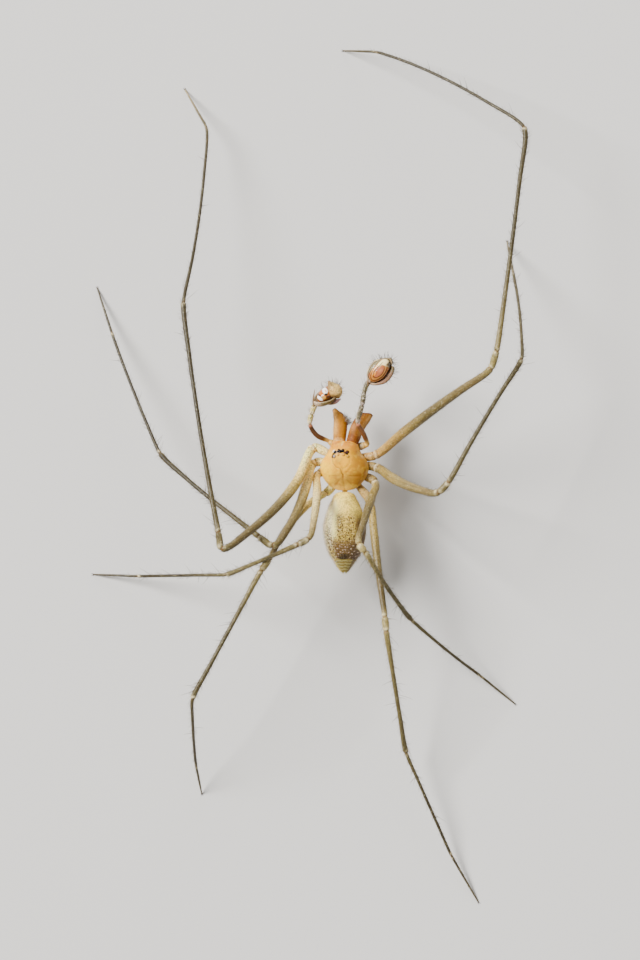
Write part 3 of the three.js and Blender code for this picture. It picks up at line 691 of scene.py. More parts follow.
def leg_paint(rows, angles, joints, tones_and_light, rng):
    """Colours of a leg: tones along it, pale broken rings and brown lines at the joints,
    and fine dark lines down the thigh."""
    root, hip, knee, shin, ankle, heel, tip = joints
    thigh, middle = knee - hip, (hip + knee) / 2
    foot = (ankle + heel) / 2
    places = [root, hip, hip + 0.15 * thigh, hip + 0.5 * thigh, knee - 0.12 * thigh, knee, shin,
              (shin + ankle) / 2, ankle, foot, heel, tip]
    tones = np.array([rgb(tone) for tone in LEG_TONES])
    paint = np.stack([np.interp(rows, places, tones[:, i]) for i in range(3)], -1)
    stops = [hip + 0.3, middle, knee - 0.3, (knee + shin) / 2, (shin + ankle) / 2, foot, (heel + tip) / 2]
    # Lightness along the leg: partly its own tone, partly painted light and shade. Where it is painted much
    # lighter, the thigh is also turned cream.
    shade = np.interp(rows, stops, tones_and_light)
    layers = [("#ffe8a2", fall(rows, middle, knee) * np.clip(shade - 1.2, 0, 0.6))]
    waver = rows + 0.012 * np.sin(3 * angles + rng.uniform(0, TAU))
    for joint in joints[2:-1]:
        facing = 0.5 + 0.5 * np.cos(angles - rng.uniform(0, TAU))
        layers += [(PALE_JOINT, 0.75 * bell(waver, joint - 0.05, 0.035) * facing),
                   (PALE_JOINT, 0.5 * bell(waver, joint + 0.06, 0.03) * (1 - facing)),
                   (JOINT_LINE, 0.75 * bell(waver, joint, 0.014))]
    layers += [("#e1a76a", 0.2 * fall(rows, hip - 0.2, hip)),
               (PALE_JOINT, 0.6 * bell(rows, hip + 0.05, 0.05)),
               *[(JOINT_LINE, 0.8 * bell(waver, joint, 0.014)) for joint in (hip, hip + TROCHANTER)]]
    shown = window(rows, hip + 0.25, hip + 0.7, knee - 0.4, knee - 0.1)
    for angle, strength in THIGH_LINES:
        wander = angle + 0.15 * np.sin(rows * 2.3 + rng.uniform(0, TAU))
        broken = 0.6 + 0.4 * np.sin(rows * 7 + rng.uniform(0, TAU))
        layers.append(("#4a3212", strength * shown * broken * bell(angles, wander, 0.16)))
    return layered(paint * shade[..., None], *layers)


def leg_skin(side, pair, leg, rng):
    line, joints = leg_line(leg_root(side, pair), *leg[:2])
    _, hip, knee, shin, ankle, heel, tip = joints
    at = leg_stops(line, joints)
    length = np.clip(np.searchsorted(joints, at, "right") - 1, 0, len(LEG_RADII) - 1)
    starts, ends = np.array(joints)[length], np.array(joints)[length + 1]
    part = (at - starts) / (ends - starts)
    radius = np.zeros(len(at))
    for index, (name, radii) in enumerate(LEG_RADII.items()):
        girth = FEMUR_GIRTH[pair] if name == "femur" else 1
        radius += (length == index) * along(radii, part) * girth
    for joint in joints[2:-1]:
        radius *= joint_profile(at - joint)
    radius *= joint_profile(at - hip, 0.16) * joint_profile(at - (hip + TROCHANTER), 0.14)
    radius *= 1 - 0.45 * step(at, line.length - 0.03, line.length)
    rings, angles = limb_rings(line, at, radius)
    rings[..., 2] = np.maximum(rings[..., 2], 0)
    rows = at[:, None] + 0 * angles
    paint = leg_paint(rows, angles, joints, leg[2], rng)
    if side == "right" and pair == 1:
        paint = layered(paint, ("#c07f3a", 0.35 * fall(rows, hip + 0.4, hip + 1.6)))
    fleck = 0.5 + 0.15 * step(rows, shin, ankle) - 0.35 * step(rows, heel, tip)
    fleck = fleck - 0.25 * bell(rows, (knee + shin) / 2, 0.25)
    gleam = 0.25 + 0.15 * fall(rows, hip, knee)
    around = radius[:, None]
    course = np.stack([rows * 0.16, around * np.cos(angles), around * np.sin(angles)], -1)
    skin = Skin(rings, paint=np.clip(paint, 0, 1), fleck=fleck, gleam=gleam, course=course)
    skin.distances, skin.joints, skin.line = at, joints, line
    return skin


def leg_hair_length(skin, row, rng):
    """Hairs are longest on the shin and shortest at the root and the tip."""
    _, hip, knee, *rest = skin.joints
    at = np.interp(row, np.arange(len(skin.distances)), skin.distances)
    usual = np.interp(at, [0, hip, (hip + knee) / 2, knee, *rest], HAIR_LENGTHS)
    return usual * rng.uniform(0.55, 1.35, len(row))


def claw(tip, way, out):
    """Rings of one small hooked claw."""
    spread = 0.012 * out
    places = [tip - 0.01 * way + spread, tip + 0.022 * way + 1.4 * spread + (0, 0, 0.008),
              tip + 0.045 * way + 1.6 * spread + (0, 0, -0.002)]
    rings, _ = tube(places, CLAW_RADII, 12, 10, FINE_STEPS)
    rings[..., 2] = np.maximum(rings[..., 2], 0)
    return rings


def add_legs():
    rng = np.random.default_rng(SEED)
    claws = []
    for name, leg in LEGS.items():
        _, side, pair = name.split("_")
        skin = leg_skin(side, int(pair), leg, rng)
        nodes = [f"{name}_{part}" for part in ("coxa", "femur", "tibia", "foot")]
        piece(f"{name}_skin", "leg", nodes, skin)
        _, hip, knee, _, _, heel, _ = skin.joints
        rows = skin.distances[:, None] + np.zeros((1, LEG_SIDES))
        dense = step(rows, hip, hip + 0.6) * 0.95 + 0.05
        length = skin.line.length
        hairs(f"{name}_hairs", "leg", skin, rng, int(HAIRS_PER_MM * length), dense, leg_hair_length,
              lean=(0.6, 1.05))
        shown = window(rows, knee - 0.6, knee, heel - 1, heel) + FAINT
        hairs(f"{name}_bristles", "leg", skin, rng, 26, shown, (0.2, 0.42), width=0.0032,
              lean=(0.3, 0.8), tone="#4a3a1e", own=0.1)
        direction, across, _ = skin.line.frames(np.array([length - 0.05, length]))
        tip = np.array([*skin.line.point(length)[:2], CLAW_HEIGHT])
        way = unit(direction[1] * (1, 1, 0.1))
        claws += [Skin(claw(tip, way, out)) for out in (across[1], -across[1])]
    piece("claws", "claw", (), *claws)


# Carapace and eyes: places in plan
# Dark of the grooves, the pit and its rays: partly their own colour, partly painted shade in them
GROOVE_TONE = "#6a350c"
FOVEA = (0.03, -0.235)
GROOVE = [(-0.21, 0.19), (-0.19, 0.06), (-0.11, -0.03), (-0.02, -0.07), (0.0, -0.16), (0.03, -0.2)]
CLYPEUS = [(-0.26, 0.5), (-0.12, 0.55), (0, 0.53), (0.12, 0.55), (0.26, 0.5)]
GLINTS = [((-0.172, 0.35), 0.019), ((-0.195, 0.325), 0.012)]
PIGMENT_ARC = [(-0.21, 0.2), (-0.19, 0.27), (-0.13, 0.32), (-0.03, 0.34), (0.06, 0.335), (0.125, 0.285),
               (0.15, 0.27)]
# Eyes with hardly any dark round them
PALE_EYES = (("eye_rear_middle", -1), ("eye_rear_middle", 1), ("eye_rear_outer", 1))


def distance_to_path(x, y, path):
    """Distance in plan from places to a path of straight steps."""
    nearest = np.full(x.shape, 9.0)
    for (ax, ay), (bx, by) in zip(path, path[1:]):
        over, up = bx - ax, by - ay
        part = np.clip(((x - ax) * over + (y - ay) * up) / (over ** 2 + up ** 2), 0, 1)
        nearest = np.minimum(nearest, np.hypot(x - ax - part * over, y - ay - part * up))
    return nearest


def carapace_height(x, y):
    """Height of the dome over a place in plan, in the frame of the body's front."""
    places, *columns = np.array(CARAPACE_STATIONS).T
    half, dome, rim = [np.interp(y, places, column) for column in columns]
    return rim + dome * math.sqrt(max(0, 1 - (x / half) ** 2))


def add_carapace():
    stations = smooth_rows(CARAPACE_STATIONS, CARAPACE_ROWS)
    angles = ring_angles(BODY_SIDES)
    y, half, dome, rim = [stations[:, i:i + 1] for i in range(4)]
    rise = np.sin(angles)
    up = rise > 0
    lip = 0.02 * bell(rise, 0, 0.12) * step(half, 0.1, 0.3)
    x = (half + lip * 0.5) * np.cos(angles)
    z = rim + np.where(up, dome, CARAPACE_FLOOR) * rise
    y = y + 0 * x
    across, ahead = FOVEA
    fovea = bell(x, across, 0.014) * bell(y, ahead, 0.07)
    groove, twin = distance_to_path(x, y, GROOVE), distance_to_path(-x, y, GROOVE)
    away, reach = np.arctan2(x - across, y - ahead), np.hypot(x - across, y - ahead)
    rays = (0.5 + 0.5 * np.cos(8 * away)) ** 6 * window(reach, 0.06, 0.16, 0.3, 0.5) * step(-y, -0.1, 0.1)
    sunk = 0.03 * fovea + 0.012 * bell(groove, 0, 0.018) + 0.006 * bell(twin, 0, 0.02) + 0.008 * rays
    z = z - np.where(up, sunk, 0)
    width = 0.012 + 0.026 * bell(x, -0.02, 0.055)
    near = bell(np.maximum(distance_to_path(x, y, PIGMENT_ARC) - width, 0), 0, 0.009)
    for name, (eye_out, forward, radius, *_) in EYES.items():
        for sign in (-1, 1):
            gap = np.maximum(np.hypot(x - sign * eye_out, y - forward) - radius, 0)
            near = np.maximum(near, (0.2 if (name, sign) in PALE_EYES else 1) * bell(gap, 0, 0.008))
    paint = painted(
        "#f3af09", x,
        ("#b18329", step(-y, -0.02, 0.3)),
        # Left side painted brighter yellow and right side painted darker: painted light and shade, as the
        # light falls from the left
        ("#fecb1f", 0.7 * step(-x, 0.12, 0.34) * window(-y, -0.15, 0.0, 0.3, 0.45)),
        ("#a06910", 0.85 * step(x, 0.12, 0.36)),
        ("#d58805", step(y, 0.25, 0.48)),
        ("#b57b05", 0.8 * dot(x, y, (-0.075, 0.1), 0.09)),
        ("#e6b94d", 0.75 * step(-y, 0.4, 0.5) + 0.3 * step(np.abs(x) / half, 0.9, 1)),
        # Dark lines along the sunk grooves, the pit and its rays: partly their own colour, partly painted
        # shade; the left groove is painted darker than its twin as part of the painted shade
        (GROOVE_TONE, 0.7 * bell(groove, 0, 0.011) + 0.2 * bell(twin, 0, 0.012)),
        (GROOVE_TONE, 0.7 * bell(x, across, 0.012) * bell(y, ahead, 0.045) + 0.2 * rays),
        ("#fbd48a", 0.5 * bell(x, 0, 0.022) * step(y, 0.42, 0.5)),
        (GROOVE_TONE, 0.45 * bell(distance_to_path(x, y, CLYPEUS), 0, 0.011)),
        ("#0c0504", near * up),
        ("#5a2e22", 0.85 * near * up * dot(x, y, (0.09, 0.315), 0.028)),
        ("#6b4a12", 0.6 * up * dot(x, y, (0.1, 0.385), 0.018)),
        *[("#fff4ea", 1.1 * up * dot(x, y, middle, size)) for middle, size in GLINTS])
    bare = (1 - near) * up
    skin = Skin(in_world(np.stack([x, y, z], -1)), paint=paint, fleck=0.55 * bare,
                net=0.35 * bare * step(-y, -0.2, 0))
    piece("carapace_shell", "shield", ["carapace"], skin)
    weight = up * (0.2 + 2 * bell(x, 0, 0.06) + 1.5 * step(y, 0.1, 0.3)) + FAINT
    hairs("carapace_hairs", "shield", skin, np.random.default_rng(SEED + 1), 150, weight, (0.03, 0.08))


def add_eyes():
    for name, (out, forward, radius, *tones) in EYES.items():
        for side, tone in zip(("left", "right"), tones):
            height = carapace_height(out, forward) - EYE_SINKING * radius
            balls = [(mirrored((out, forward, height), side), (radius,) * 3)]
            if (name, side) == ("eye_front_middle", "left"):
                place, radii = EYE_MOUND
                balls.append(((*place, carapace_height(*place)), radii))
            rings = [in_world(ball(*size, 28)) for size in balls]
            skins = [Skin(lens, paint=painted(tone, lens)) for lens in rings]
            piece(f"{name}_{side}_lens", "eye", [f"{name}_{side}"], *skins)


# Breast plate, lower lip and stalk
def add_underside():
    rows = smooth_rows(STERNUM_EDGE, PLATE_ROWS)
    angles = ring_angles(PLATE_SIDES)
    size, height = rows[:, :1], rows[:, 1:]
    heart = size * (1 + 0.05 * np.cos(angles * 8) * step(size, 0.6, 1))
    x, y = STERNUM[0] * heart * np.cos(angles), STERNUM[1] * heart * np.sin(angles)
    plate = coloured(in_world(np.stack([x, y, height + 0 * x], -1)), 0.6, "#c08a3c",
                     ("#7a451a", 0.6 * step(size, 0.7, 1)))
    lip = coloured(in_world(ball(*LABIUM)), 0.5, "#95592a")
    piece("breast_plate", "breast", ["sternum"], plate, lip)
    rings, _ = tube(PEDICEL, [PEDICEL_RADIUS], 40, 28, swell=lambda at: 1 + 0.08 * np.cos(at * 60))
    piece("stalk", "breast", ["pedicel"], coloured(rings, 0.5, "#a8783c"))


# Jaws, with slanting ends: how far each end slants, the sizes of its closing rings, and how
# many hairs its fuzz has
JAW_SLANT = {"left": 0.29, "right": 0.1}
JAW_END = (0.9, 0.7, 0.4, 0.1)
FUZZ_COUNT = {"left": 200, "right": 60}
JAW_BROWN = "#5c2a0c"
JAW_PALE = "#efb96a"


def jaw_skin(side):
    line = Line([in_world(place) for place in CHELICERA_LINES[side]])
    at = np.linspace(0, line.length, JAW_ROWS)
    part = at / line.length
    radii = along(CHELICERA_WIDTH, part) * (1 - 0.15 * step(part, 0.8, 1))
    rings, angles = limb_rings(line, at, radii, along(CHELICERA_DEPTH, part), JAW_SIDES)
    inner = np.cos(angles) * (1 if side == "right" else -1)
    direction, _, _ = line.frames(at)
    rows = part[:, None] + 0 * angles
    back = JAW_SLANT[side] * step(inner, -0.6, 1) * step(rows, 0.4, 1)
    rings = rings - direction[:, None] * back[..., None]
    centre = rings[-1].mean(0)
    ends = [centre + (rings[-1] - centre) * size - direction[-1] * 0.05 * (1 - size) for size in JAW_END]
    rings = np.concatenate([rings, ends])
    rows, inner, angles = [np.pad(values, ((0, len(JAW_END)), (0, 0)), "edge")
                           for values in (rows, inner, angles)]
    if side == "right":
        # The right jaw is painted darker than the left: partly its own redder tone, partly painted shade,
        # as it lies in shade
        tone = "#7a4c12"
        own = [("#6e3510", 0.7 * fall(rows, 0.16, 0.3)),
               ("#c98a58", 0.5 * bell(rows, 0.42, 0.1) * step(inner, -0.2, 0.6))]
    else:
        tone, own = "#9f6609", [(JAW_PALE, 0.5 * fall(rows, 0.05, 0.16))]
    paint = painted(
        tone, rings,
        (JAW_PALE, 0.45 * bell(inner, -0.75, 0.3) * step(rows, 0.1, 0.3)),
        # Inner sides painted brown: partly their own darker margin, partly painted shade between the jaws
        (JAW_BROWN, 0.75 * step(inner, 0.6, 1) * step(rows, 0.25, 0.6)),
        *own,
        (JAW_BROWN, 0.95 * step(rows, 0.95, 0.99)))
    return Skin(rings, paint=paint, fleck=0.8 * fall(rows, 0.9, 0.97)), rows, inner, angles


def add_jaws():
    rng = np.random.default_rng(SEED + 2)
    for side, places in CHELICERA_LINES.items():
        name = f"chelicera_{side}"
        skin, rows, inner, angles = jaw_skin(side)
        piece(f"{name}_skin", "jaw", [name], skin)
        weight = window(rows, 0.25, 0.5, 0.95, 0.97) * (0.3 + (np.sin(angles) > -0.2)) + FAINT
        hairs(f"{name}_hairs", "jaw", skin, rng, 150, weight, (0.03, 0.08), width=0.0025)
        grains = bell(inner, -1, 0.12) * window(rows, 0.12, 0.2, 0.4, 0.5) + 0.1 * FAINT
        hairs(f"{name}_grains", "jaw", skin, rng, 26, grains, (0.025, 0.04), lean=(0.1, 0.5),
              width=0.012, tone="#f3dcae", own=0.3)
        fuzz = window(rows, 0.6, 0.75, 0.99, 1) * step(inner, 0.1, 0.6) + 0.1 * FAINT
        hairs(f"{name}_fuzz", "jaw", skin, rng, FUZZ_COUNT[side], fuzz, (0.06, 0.14),
              lean=(0.0, 0.8), spray=0.9, tone="#a8a49c", own=0.0, width=0.0038)
        x, y, z = places[-1]
        inward, low = (1 if side == "left" else -1) * FANG["reach"], z - FANG["drop"]
        line = [(x, y - 0.06, z), (x + 0.45 * inward, y - 0.1, low),
                (x + 0.95 * inward, y - FANG["back"] - 0.06, low)]
        hook, _ = tube([in_world(place) for place in line], FANG["radii"], 40, 24)
        piece(f"fang_{side}_hook", "fang", [f"fang_{side}"], coloured(hook, 0.6, "#7a3410"))


# Abdomen and spinnerets: steps of its rows of marks, of the rings of its end and of the beads
# along its left edge
CHEVRON_STEP = 0.062
END_STEP = 0.066
BEAD_STEP = 0.085
END_START = 1.95
REAR_BROWN = "#6e4a24"


def abdomen_fields(across, share, y, rise):
    """Paint, fine net, flecks, specks and spots of the abdomen by the place across and along."""
    mid, back = np.abs(across - 0.018), -y
    top = step(rise, -0.1, 0.5)
    # Pale band down the left flank: partly its own pale colour, partly painted light, as the light falls
    # from the left
    white = bell(share, -0.72, 0.2) * window(back, 0.45, 0.7, 1.5, 1.75)
    band = bell(mid, 0.14, 0.09) * window(back, 0.82, 1.0, 1.5, 1.6)
    rear = window(back, 1.4, 1.66, 1.88, 1.93) * step(share, -0.8, -0.45)
    waver = 0.01 * np.sin(across * 41 + 1) + 0.007 * np.sin(across * 97 + back * 31)
    line = (back + 0.2 * mid + waver) / CHEVRON_STEP
    number = np.floor(line)
    between = step(1 - wave(line), 0.5, 0.95)
    pieces = np.sin(across * 43 + 2.4 * number) + 0.9 * np.sin(across * 97 + 5.1 * number)
    dashes = step(np.sin(across * 61 + 3.3 * number), -0.4, 0.4)
    end = step(back, 1.9, 1.94) * fall(np.abs(share + 0.05), 0.68, 0.78)
    ring = wave((back - END_START + 0.6 * waver) / END_STEP)
    edge = window(back, 0.35, 0.7, 1.95, 2.1) * (rise > -0.4)
    beaded = edge * step(back, 1.1, 1.35)
    beads = wave((back + 1.5 * waver) / BEAD_STEP)
    paint = painted(
        "#efd160", across,
        ("#ffee87", 0.95 * bell(share, -0.48, 0.16) * window(back, 0.6, 0.8, 1.35, 1.6)),
        # Pale left flank, partly painted light
        ("#fff3bc", 0.95 * white),
        ("#f7d46a", 0.7 * bell(across, 0.03, 0.07) * window(back, 0.55, 0.7, 1.3, 1.45)),
        ("#836024", 0.35 * band),
        (REAR_BROWN, 0.5 * step(back, 1.4, 1.54) * window(share, -0.8, -0.4, 0.6, 0.9)),
        # Right side painted dark brown: painted shade, as the light falls from the left
        ("#36220a", 0.97 * step(share, 0.36, 0.66) * step(back, 0.7, 1.1)),
        ("#63482a", 0.85 * rear),
        ("#7f6156", 0.85 * rear * between * step(pieces, -1.1, -0.3)),
        ("#f2d8b8", 0.9 * rear * between * step(pieces, 0.2, 1.1)),
        ("#3a2814", 0.85 * rear * (1 - between) * dashes),
        ("#1d1302", 0.9 * step(bell(across, -0.02, 0.12) * bell(back, 1.855, 0.07), 0.15, 0.5)),
        ("#a49142", end),
        # Pale on the crests of the end's rings and brown in the grooves between them: partly painted light
        # and shade over the ridges
        ("#e4d68c", 0.55 * end * ring ** 2),
        (REAR_BROWN, 0.45 * end * bell(ring, 0, 0.3)),
        # Right side of the end painted duller: painted shade
        ("#8a7444", 0.8 * step(back, 1.9, 1.94) * step(share, 0.66, 0.76)),
        # Lower side painted duller, but not on the lit left flank: painted shade
        ("#a88c50", 0.8 * (1 - top) * (share > -0.5)),
        # Near-white left edge: partly its own colour, partly painted light
        ("#fff2d6", 0.95 * bell(share, -1, 0.12) * edge),
        ("#4a3420", 0.85 * bell(share, -0.8, 0.045) * beaded * step(beads, 0.35, 0.7)),
        ("#d8c4ae", 0.8 * bell(share, -0.7, 0.045) * beaded * step(beads, 0.5, 0.9)))
    open_back = fall(back, 1.86, 1.92) * top
    flank = bell(share, -0.66, 0.16) * step(back, 1.15, 1.35)
    bright = 1 - 0.9 * bell(share, -0.5, 0.13) * window(back, 0.5, 0.7, 1.3, 1.5)
    shown = open_back * (1 - 0.5 * rear)
    fleck = (0.5 + 0.15 * step(back, 0.9, 1.1)) * shown * (1 - 0.9 * white) + 0.5 * end
    dark = band + 0.8 * flank + 0.9 * bell(back, 1.5, 0.1) * window(share, -0.7, -0.5, 0.5, 0.7)
    specks = np.clip(dark + 0.45 * step(back, 0.75, 1.0), 0, 1) * shown
    net = 0.6 * open_back * (1 - 0.8 * white) * (1 - 0.6 * rear)
    spots = np.clip(0.6 * band + 0.6 * flank + 0.1 * rear, 0, 1) * open_back
    return {"paint": paint, "net": net * bright, "fleck": fleck * bright, "specks": specks * bright,
            "spots": spots}


def add_abdomen():
    stations = smooth_rows(ABDOMEN_STATIONS, ABDOMEN_ROWS)
    angles = ring_angles(BODY_SIDES)
    y, half, high, low, axis = [stations[:, i:i + 1] for i in range(5)]
    rise = np.sin(angles)
    ridge = 1 + 0.02 * window(-y, 1.88, 1.94, 2.19, 2.21) * np.cos((-y - END_START) / END_STEP * TAU)
    across = half * ridge * np.cos(angles)
    share = np.cos(angles) + 0 * y
    z = axis + np.where(rise > 0, high, low) * ridge * rise
    y = y + 0 * across
    rings = np.stack([ABDOMEN_X + across, y, z], -1)
    skin = Skin(rings, **abdomen_fields(across, share, y, rise))
    piece("abdomen_skin", "belly", ["abdomen"], skin)
    weight = 0.3 + 0.9 * (np.abs(share) > 0.75) + 0.8 * step(-y, 1.6, 2)
    hairs("abdomen_hairs", "belly", skin, np.random.default_rng(SEED + 3), 1700, weight, (0.04, 0.1),
          lean=(0.6, 1.1), width=0.0022, tone="#a3926c", own=0.5)
    x, y, z = SPINNERET_PAD[0]
    cones = []
    for away, lift, radii, reach in SPINNERET_PAIRS:
        for out in (-away, away):
            cones.append(((x + out, y, z + lift), (x + 0.8 * out, y - reach, z + 1.2 * lift), radii))
    for out in TAIL_CONES:
        cones.append(((x + out, -2.17, 1.25), (x + 1.1 * out, -2.245, 1.25), (0.03, 0.026, 0.012)))
    skins = [coloured(ball(*SPINNERET_PAD), 0.3, "#b29c58")]
    for start, end, radii in cones:
        rings, at = tube([start, end], radii, 30, 24)
        seam = 0.6 * bell(at[:, None], 0.5 * at[-1], 0.012)
        skins.append(coloured(rings, 0.3, "#d6c678", ("#7c682e", seam)))
    piece("spinneret_group", "belly", ["spinnerets"], *skins)


# Feelers: tones of the arm's near and far half, and the strength of the blush on the near one
ARM_TONES = {"left": ("#4a2c13", "#d2c070"), "right": ("#5e381a", "#5f5538")}
ARM_BLUSH = {"left": 0.2, "right": 0.4}


def palp_arm(side, arm, cup):
    """Skin of a feeler's arm from its hip to the cup."""
    line = Line([*arm, cup])
    knee, elbow, full = [line.mark(count) for count in (2, 3, 5)]
    end = full - 0.3
    at = np.linspace(0, end, ARM_ROWS)
    femur = along(PALP_FEMUR_RADII, at / knee)
    tibia = along(PALP_TIBIA_RADII, (at - knee) / (full - knee))
    radii = np.where(at < knee, femur, tibia)
    radii = radii * joint_profile(at - knee, 0.22) * joint_profile(at - elbow, 0.3)
    for size, middle, width in ((0.14, (knee + elbow) / 2, 0.08), (0.12, elbow + 0.16, 0.06),
                                (-0.12, elbow + 0.3, 0.05)):
        radii = radii * (1 + size * bell(at, middle, width))
    rings, angles = limb_rings(line, at, radii)
    rows = at[:, None] + 0 * angles
    far = step(rows, knee - 0.02, knee + 0.05)
    # Sides of the knee that take the painted highlight
    facing = (0.5 + 0.5 * np.cos(2 * angles + 1)) ** 2
    near_tone, far_tone = ARM_TONES[side]
    paint = painted(
        near_tone, rings,
        ("#d0a95a", fall(rows, 0.05, 0.22)),
        ("#8a5a32", ARM_BLUSH[side] * bell(rows, 0.5 * knee, 0.2)),
        (far_tone, far),
        ("#c8b47a", 0.6 * far * bell(np.sin(angles + 3 * rows), 0.6, 0.4)),
        ("#c07a58", 0.7 * bell(rows, knee - 0.03, 0.03)),
        # Painted highlight on the knee
        ("#fff4e0", 1.1 * bell(rows, knee + 0.01, 0.025) * facing),
        *[("#e8ccc0", 0.45 * bell(rows, joint, 0.03)) for joint in (knee + 0.06, elbow + 0.04, end - 0.06)],
        ("#3a2814", 0.7 * bell(rows, elbow, 0.016)))
    course = np.stack([rows * 0.3, 0.06 * np.cos(angles), 0.06 * np.sin(angles)], -1)
    skin = Skin(rings, paint=paint, fleck=0.25 + 0.75 * far, gleam=0.9 * far, course=course)
    return skin, rows, knee, end


def add_palps():
    rng = np.random.default_rng(SEED + 4)
    for side, (arm, cup, *ways) in PALPS.items():
        skin, rows, knee, end = palp_arm(side, arm, cup)
        nodes = [f"palp_femur_{side}", f"palp_tibia_{side}"]
        piece(f"palp_arm_{side}", "palp", nodes, skin)
        hairs(f"palp_arm_hairs_{side}", "palp", skin, rng, 130, step(rows, 0.2, end) + 0.05,
              (0.05, 0.13), lean=(0.3, 0.8), width=0.0025)
        hairs(f"palp_arm_bristles_{side}", "palp", skin, rng, 7, step(rows, knee + 0.2, end) + FAINT,
              (0.25, 0.42), lean=(0.5, 0.9), width=0.0024, tone="#5a4a2c", own=0.1)
        line = [in_world(mirrored(PALP_ROOT, side)), arm[0]]
        rings, at = tube(line, PALP_BASE_RADII, 60, 32,
                         swell=lambda at: 1 + 0.3 * bell(at, 0.62 * at[-1], 0.09))
        part = at[:, None] / at[-1]
        stem = coloured(rings, 0.4, "#d6a94e", ("#a59878", 0.85 * bell(part, 0.62, 0.14)),
                        ("#7a4a1c", 0.7 * bell(part, 0.82, 0.03)))
        place, radii = PALP_LOBE
        lobe = coloured(in_world(ball(mirrored(place, side), radii)), 0.4, "#b98240")
        piece(f"palp_base_{side}", "breast", [f"palp_coxa_{side}"], stem, lobe)
        add_cup(side, cup, *ways, rng)


# Cups and bulbs. The end of the left cup is cut short, its rim dips, and its bulb is smaller and
# lies to one side. The right cup has a shelf on its inner side.
CUP_REACH = {"left": 0.86, "right": 1}
CUP_DIP = {"left": 0.12, "right": 0}
CUP_SHELF = {"left": 0, "right": 0.3}
CUP_END = 0.03
HOOD = [(0.66, 1.8, 1.74), (0.6, 1.9, 1.79), (0.51, 2.03, 1.82), (0.41, 2.19, 1.8)]
HOOD_RADII = (0.03, 0.12, 0.165, 0.175, 0.16, 0.115, 0.06, 0.01)
LIP = [(0.36, 1.665, 1.74), (0.54, 1.695, 1.78), (0.7, 1.775, 1.78)]
LIP_RADII = (0.03, 0.05, 0.05, 0.012)
SPURS = {
    "left": [(0.08, 1.6, 1.68), (0.065, 1.78, 1.8), (0.1, 1.99, 1.84)],
    "right": [(1.33, 2.1, 1.92), (1.315, 2.16, 2.0), (1.34, 2.25, 2.04)],
}
SPUR_RADII = (0.03, 0.022, 0.006)
CUP_HAIRS = {"spray": 0.8, "width": 0.003, "tone": "#45351c", "own": 0.15}
BULB_SIZE = np.array([0.2, 0.315, 0.15])
BULB_SHARE = {"left": (0.84, 0.8, 0.9), "right": (0.98, 1, 1)}
BULB_SHIFT = {"left": (0.05, -0.03, -0.04), "right": (-0.02, 0, 0)}
# Spots of the left bulb's side: place in plan, half sizes, turn and colour. The two near-white spots are
# painted highlights.
BULB_SPOTS = [
    ((0.23, 1.9), (0.075, 0.09), 0.3, "#b8640f"), ((0.2, 1.86), (0.02, 0.1), 0.75, "#3a1405"),
    ((0.33, 1.96), (0.062, 0.085), 0.35, "#fffaf4"), ((0.35, 1.955), (0.02, 0.04), 0.5, "#e8a88c"),
    ((0.215, 1.785), (0.085, 0.036), -0.7, "#fffaf6"), ((0.31, 1.8), (0.05, 0.04), 0, "#c9933c"),
    ((0.357, 1.878), (0.033, 0.03), 0, "#100503"), ((0.3, 1.845), (0.065, 0.016), -0.5, "#c98a4a"),
    ((0.4, 1.82), (0.05, 0.02), 0.2, "#4a240c"),
]
# Dark lines of the right bulb: rings round its middle, by their radius and half width, and two
# lines down its left side, by their place across and half width
BULB_RINGS = [(0.46, 0.035), (0.68, 0.035), (0.88, 0.05)]
BULB_SEAMS = [(-0.7, 0.05), (-0.3, 0.045)]


def cup_rings(side):
    """Rings of the cup, from the bottom of its outer face up over the rim and down inside. Its
    outline is drawn to a point at the far end, with a notch beside the point."""
    angles = ring_angles(CUP_SIDES)
    facing = np.arctan2(np.sin(angles), np.cos(angles))
    rim = CUP_RIM - CUP_DIP[side] * bell(facing, 0.1, 1.0)
    low = CUP_END - math.pi / 2

    def bowl(lat, radii):
        return np.stack([np.cos(lat) * np.cos(angles) * radii[0],
                         np.cos(lat) * np.sin(angles) * radii[1], np.sin(lat) * radii[2] + 0 * angles], -1)

    rows = np.linspace(0, 1, CUP_OUTER_ROWS)[:, None]
    shell = bowl(low + (np.arcsin(rim / CUP_RADII[2]) - low) * rows, CUP_RADII)
    hollow = bowl(np.linspace(0, low, CUP_INNER_ROWS)[:, None], CUP_RADII - CUP_WALL)
    hollow[..., 2] += rim
    hollow[..., 0] *= 1 - CUP_SHELF[side] * bell(facing, -0.1, 0.8)
    edge = shell[-1:] * 0.5 + hollow[:1] * 0.5 + (0, 0, 0.012)
    rings = np.concatenate([shell, edge, hollow])
    x, y = rings[..., 0], rings[..., 1]
    left = 1 - 0.4 * step(y, 0.08, 0.4) - 0.2 * step(-y, 0.15, 0.4)
    right = 1.1 - 0.12 * step(y, 0.25, 0.4) - 0.25 * step(-y, 0.1, 0.4)
    notch = 1 - 0.16 * bell(angles, 1.05, 0.14)
    reach = np.where(y < 0, 1, CUP_REACH[side])
    rings[..., 0] = x * np.where(x < 0, left, right) * notch
    rings[..., 1] = y * notch * reach * (1 + 0.05 * bell(angles, 1.62, 0.2))
    return rings, angles


def bulb_lines(u, t):
    """How far the dark lines of the right bulb show, by the place across it and along it, both
    from -1 to 1."""
    radius = np.hypot(u - 0.12, 0.85 * (t + 0.06))
    rings = sum(bell(radius, middle, width) for middle, width in BULB_RINGS)
    seams = sum(bell(u, middle, width) for middle, width in BULB_SEAMS)
    low = step(0.7 * u - t, -0.35, 0.0) * fall(t, 0.45, 0.55)
    high = step(t + 0.8 * u, -0.95, -0.6) * fall(t, 0.55, 0.8)
    return np.clip(rings * low + seams * high, 0, 1)


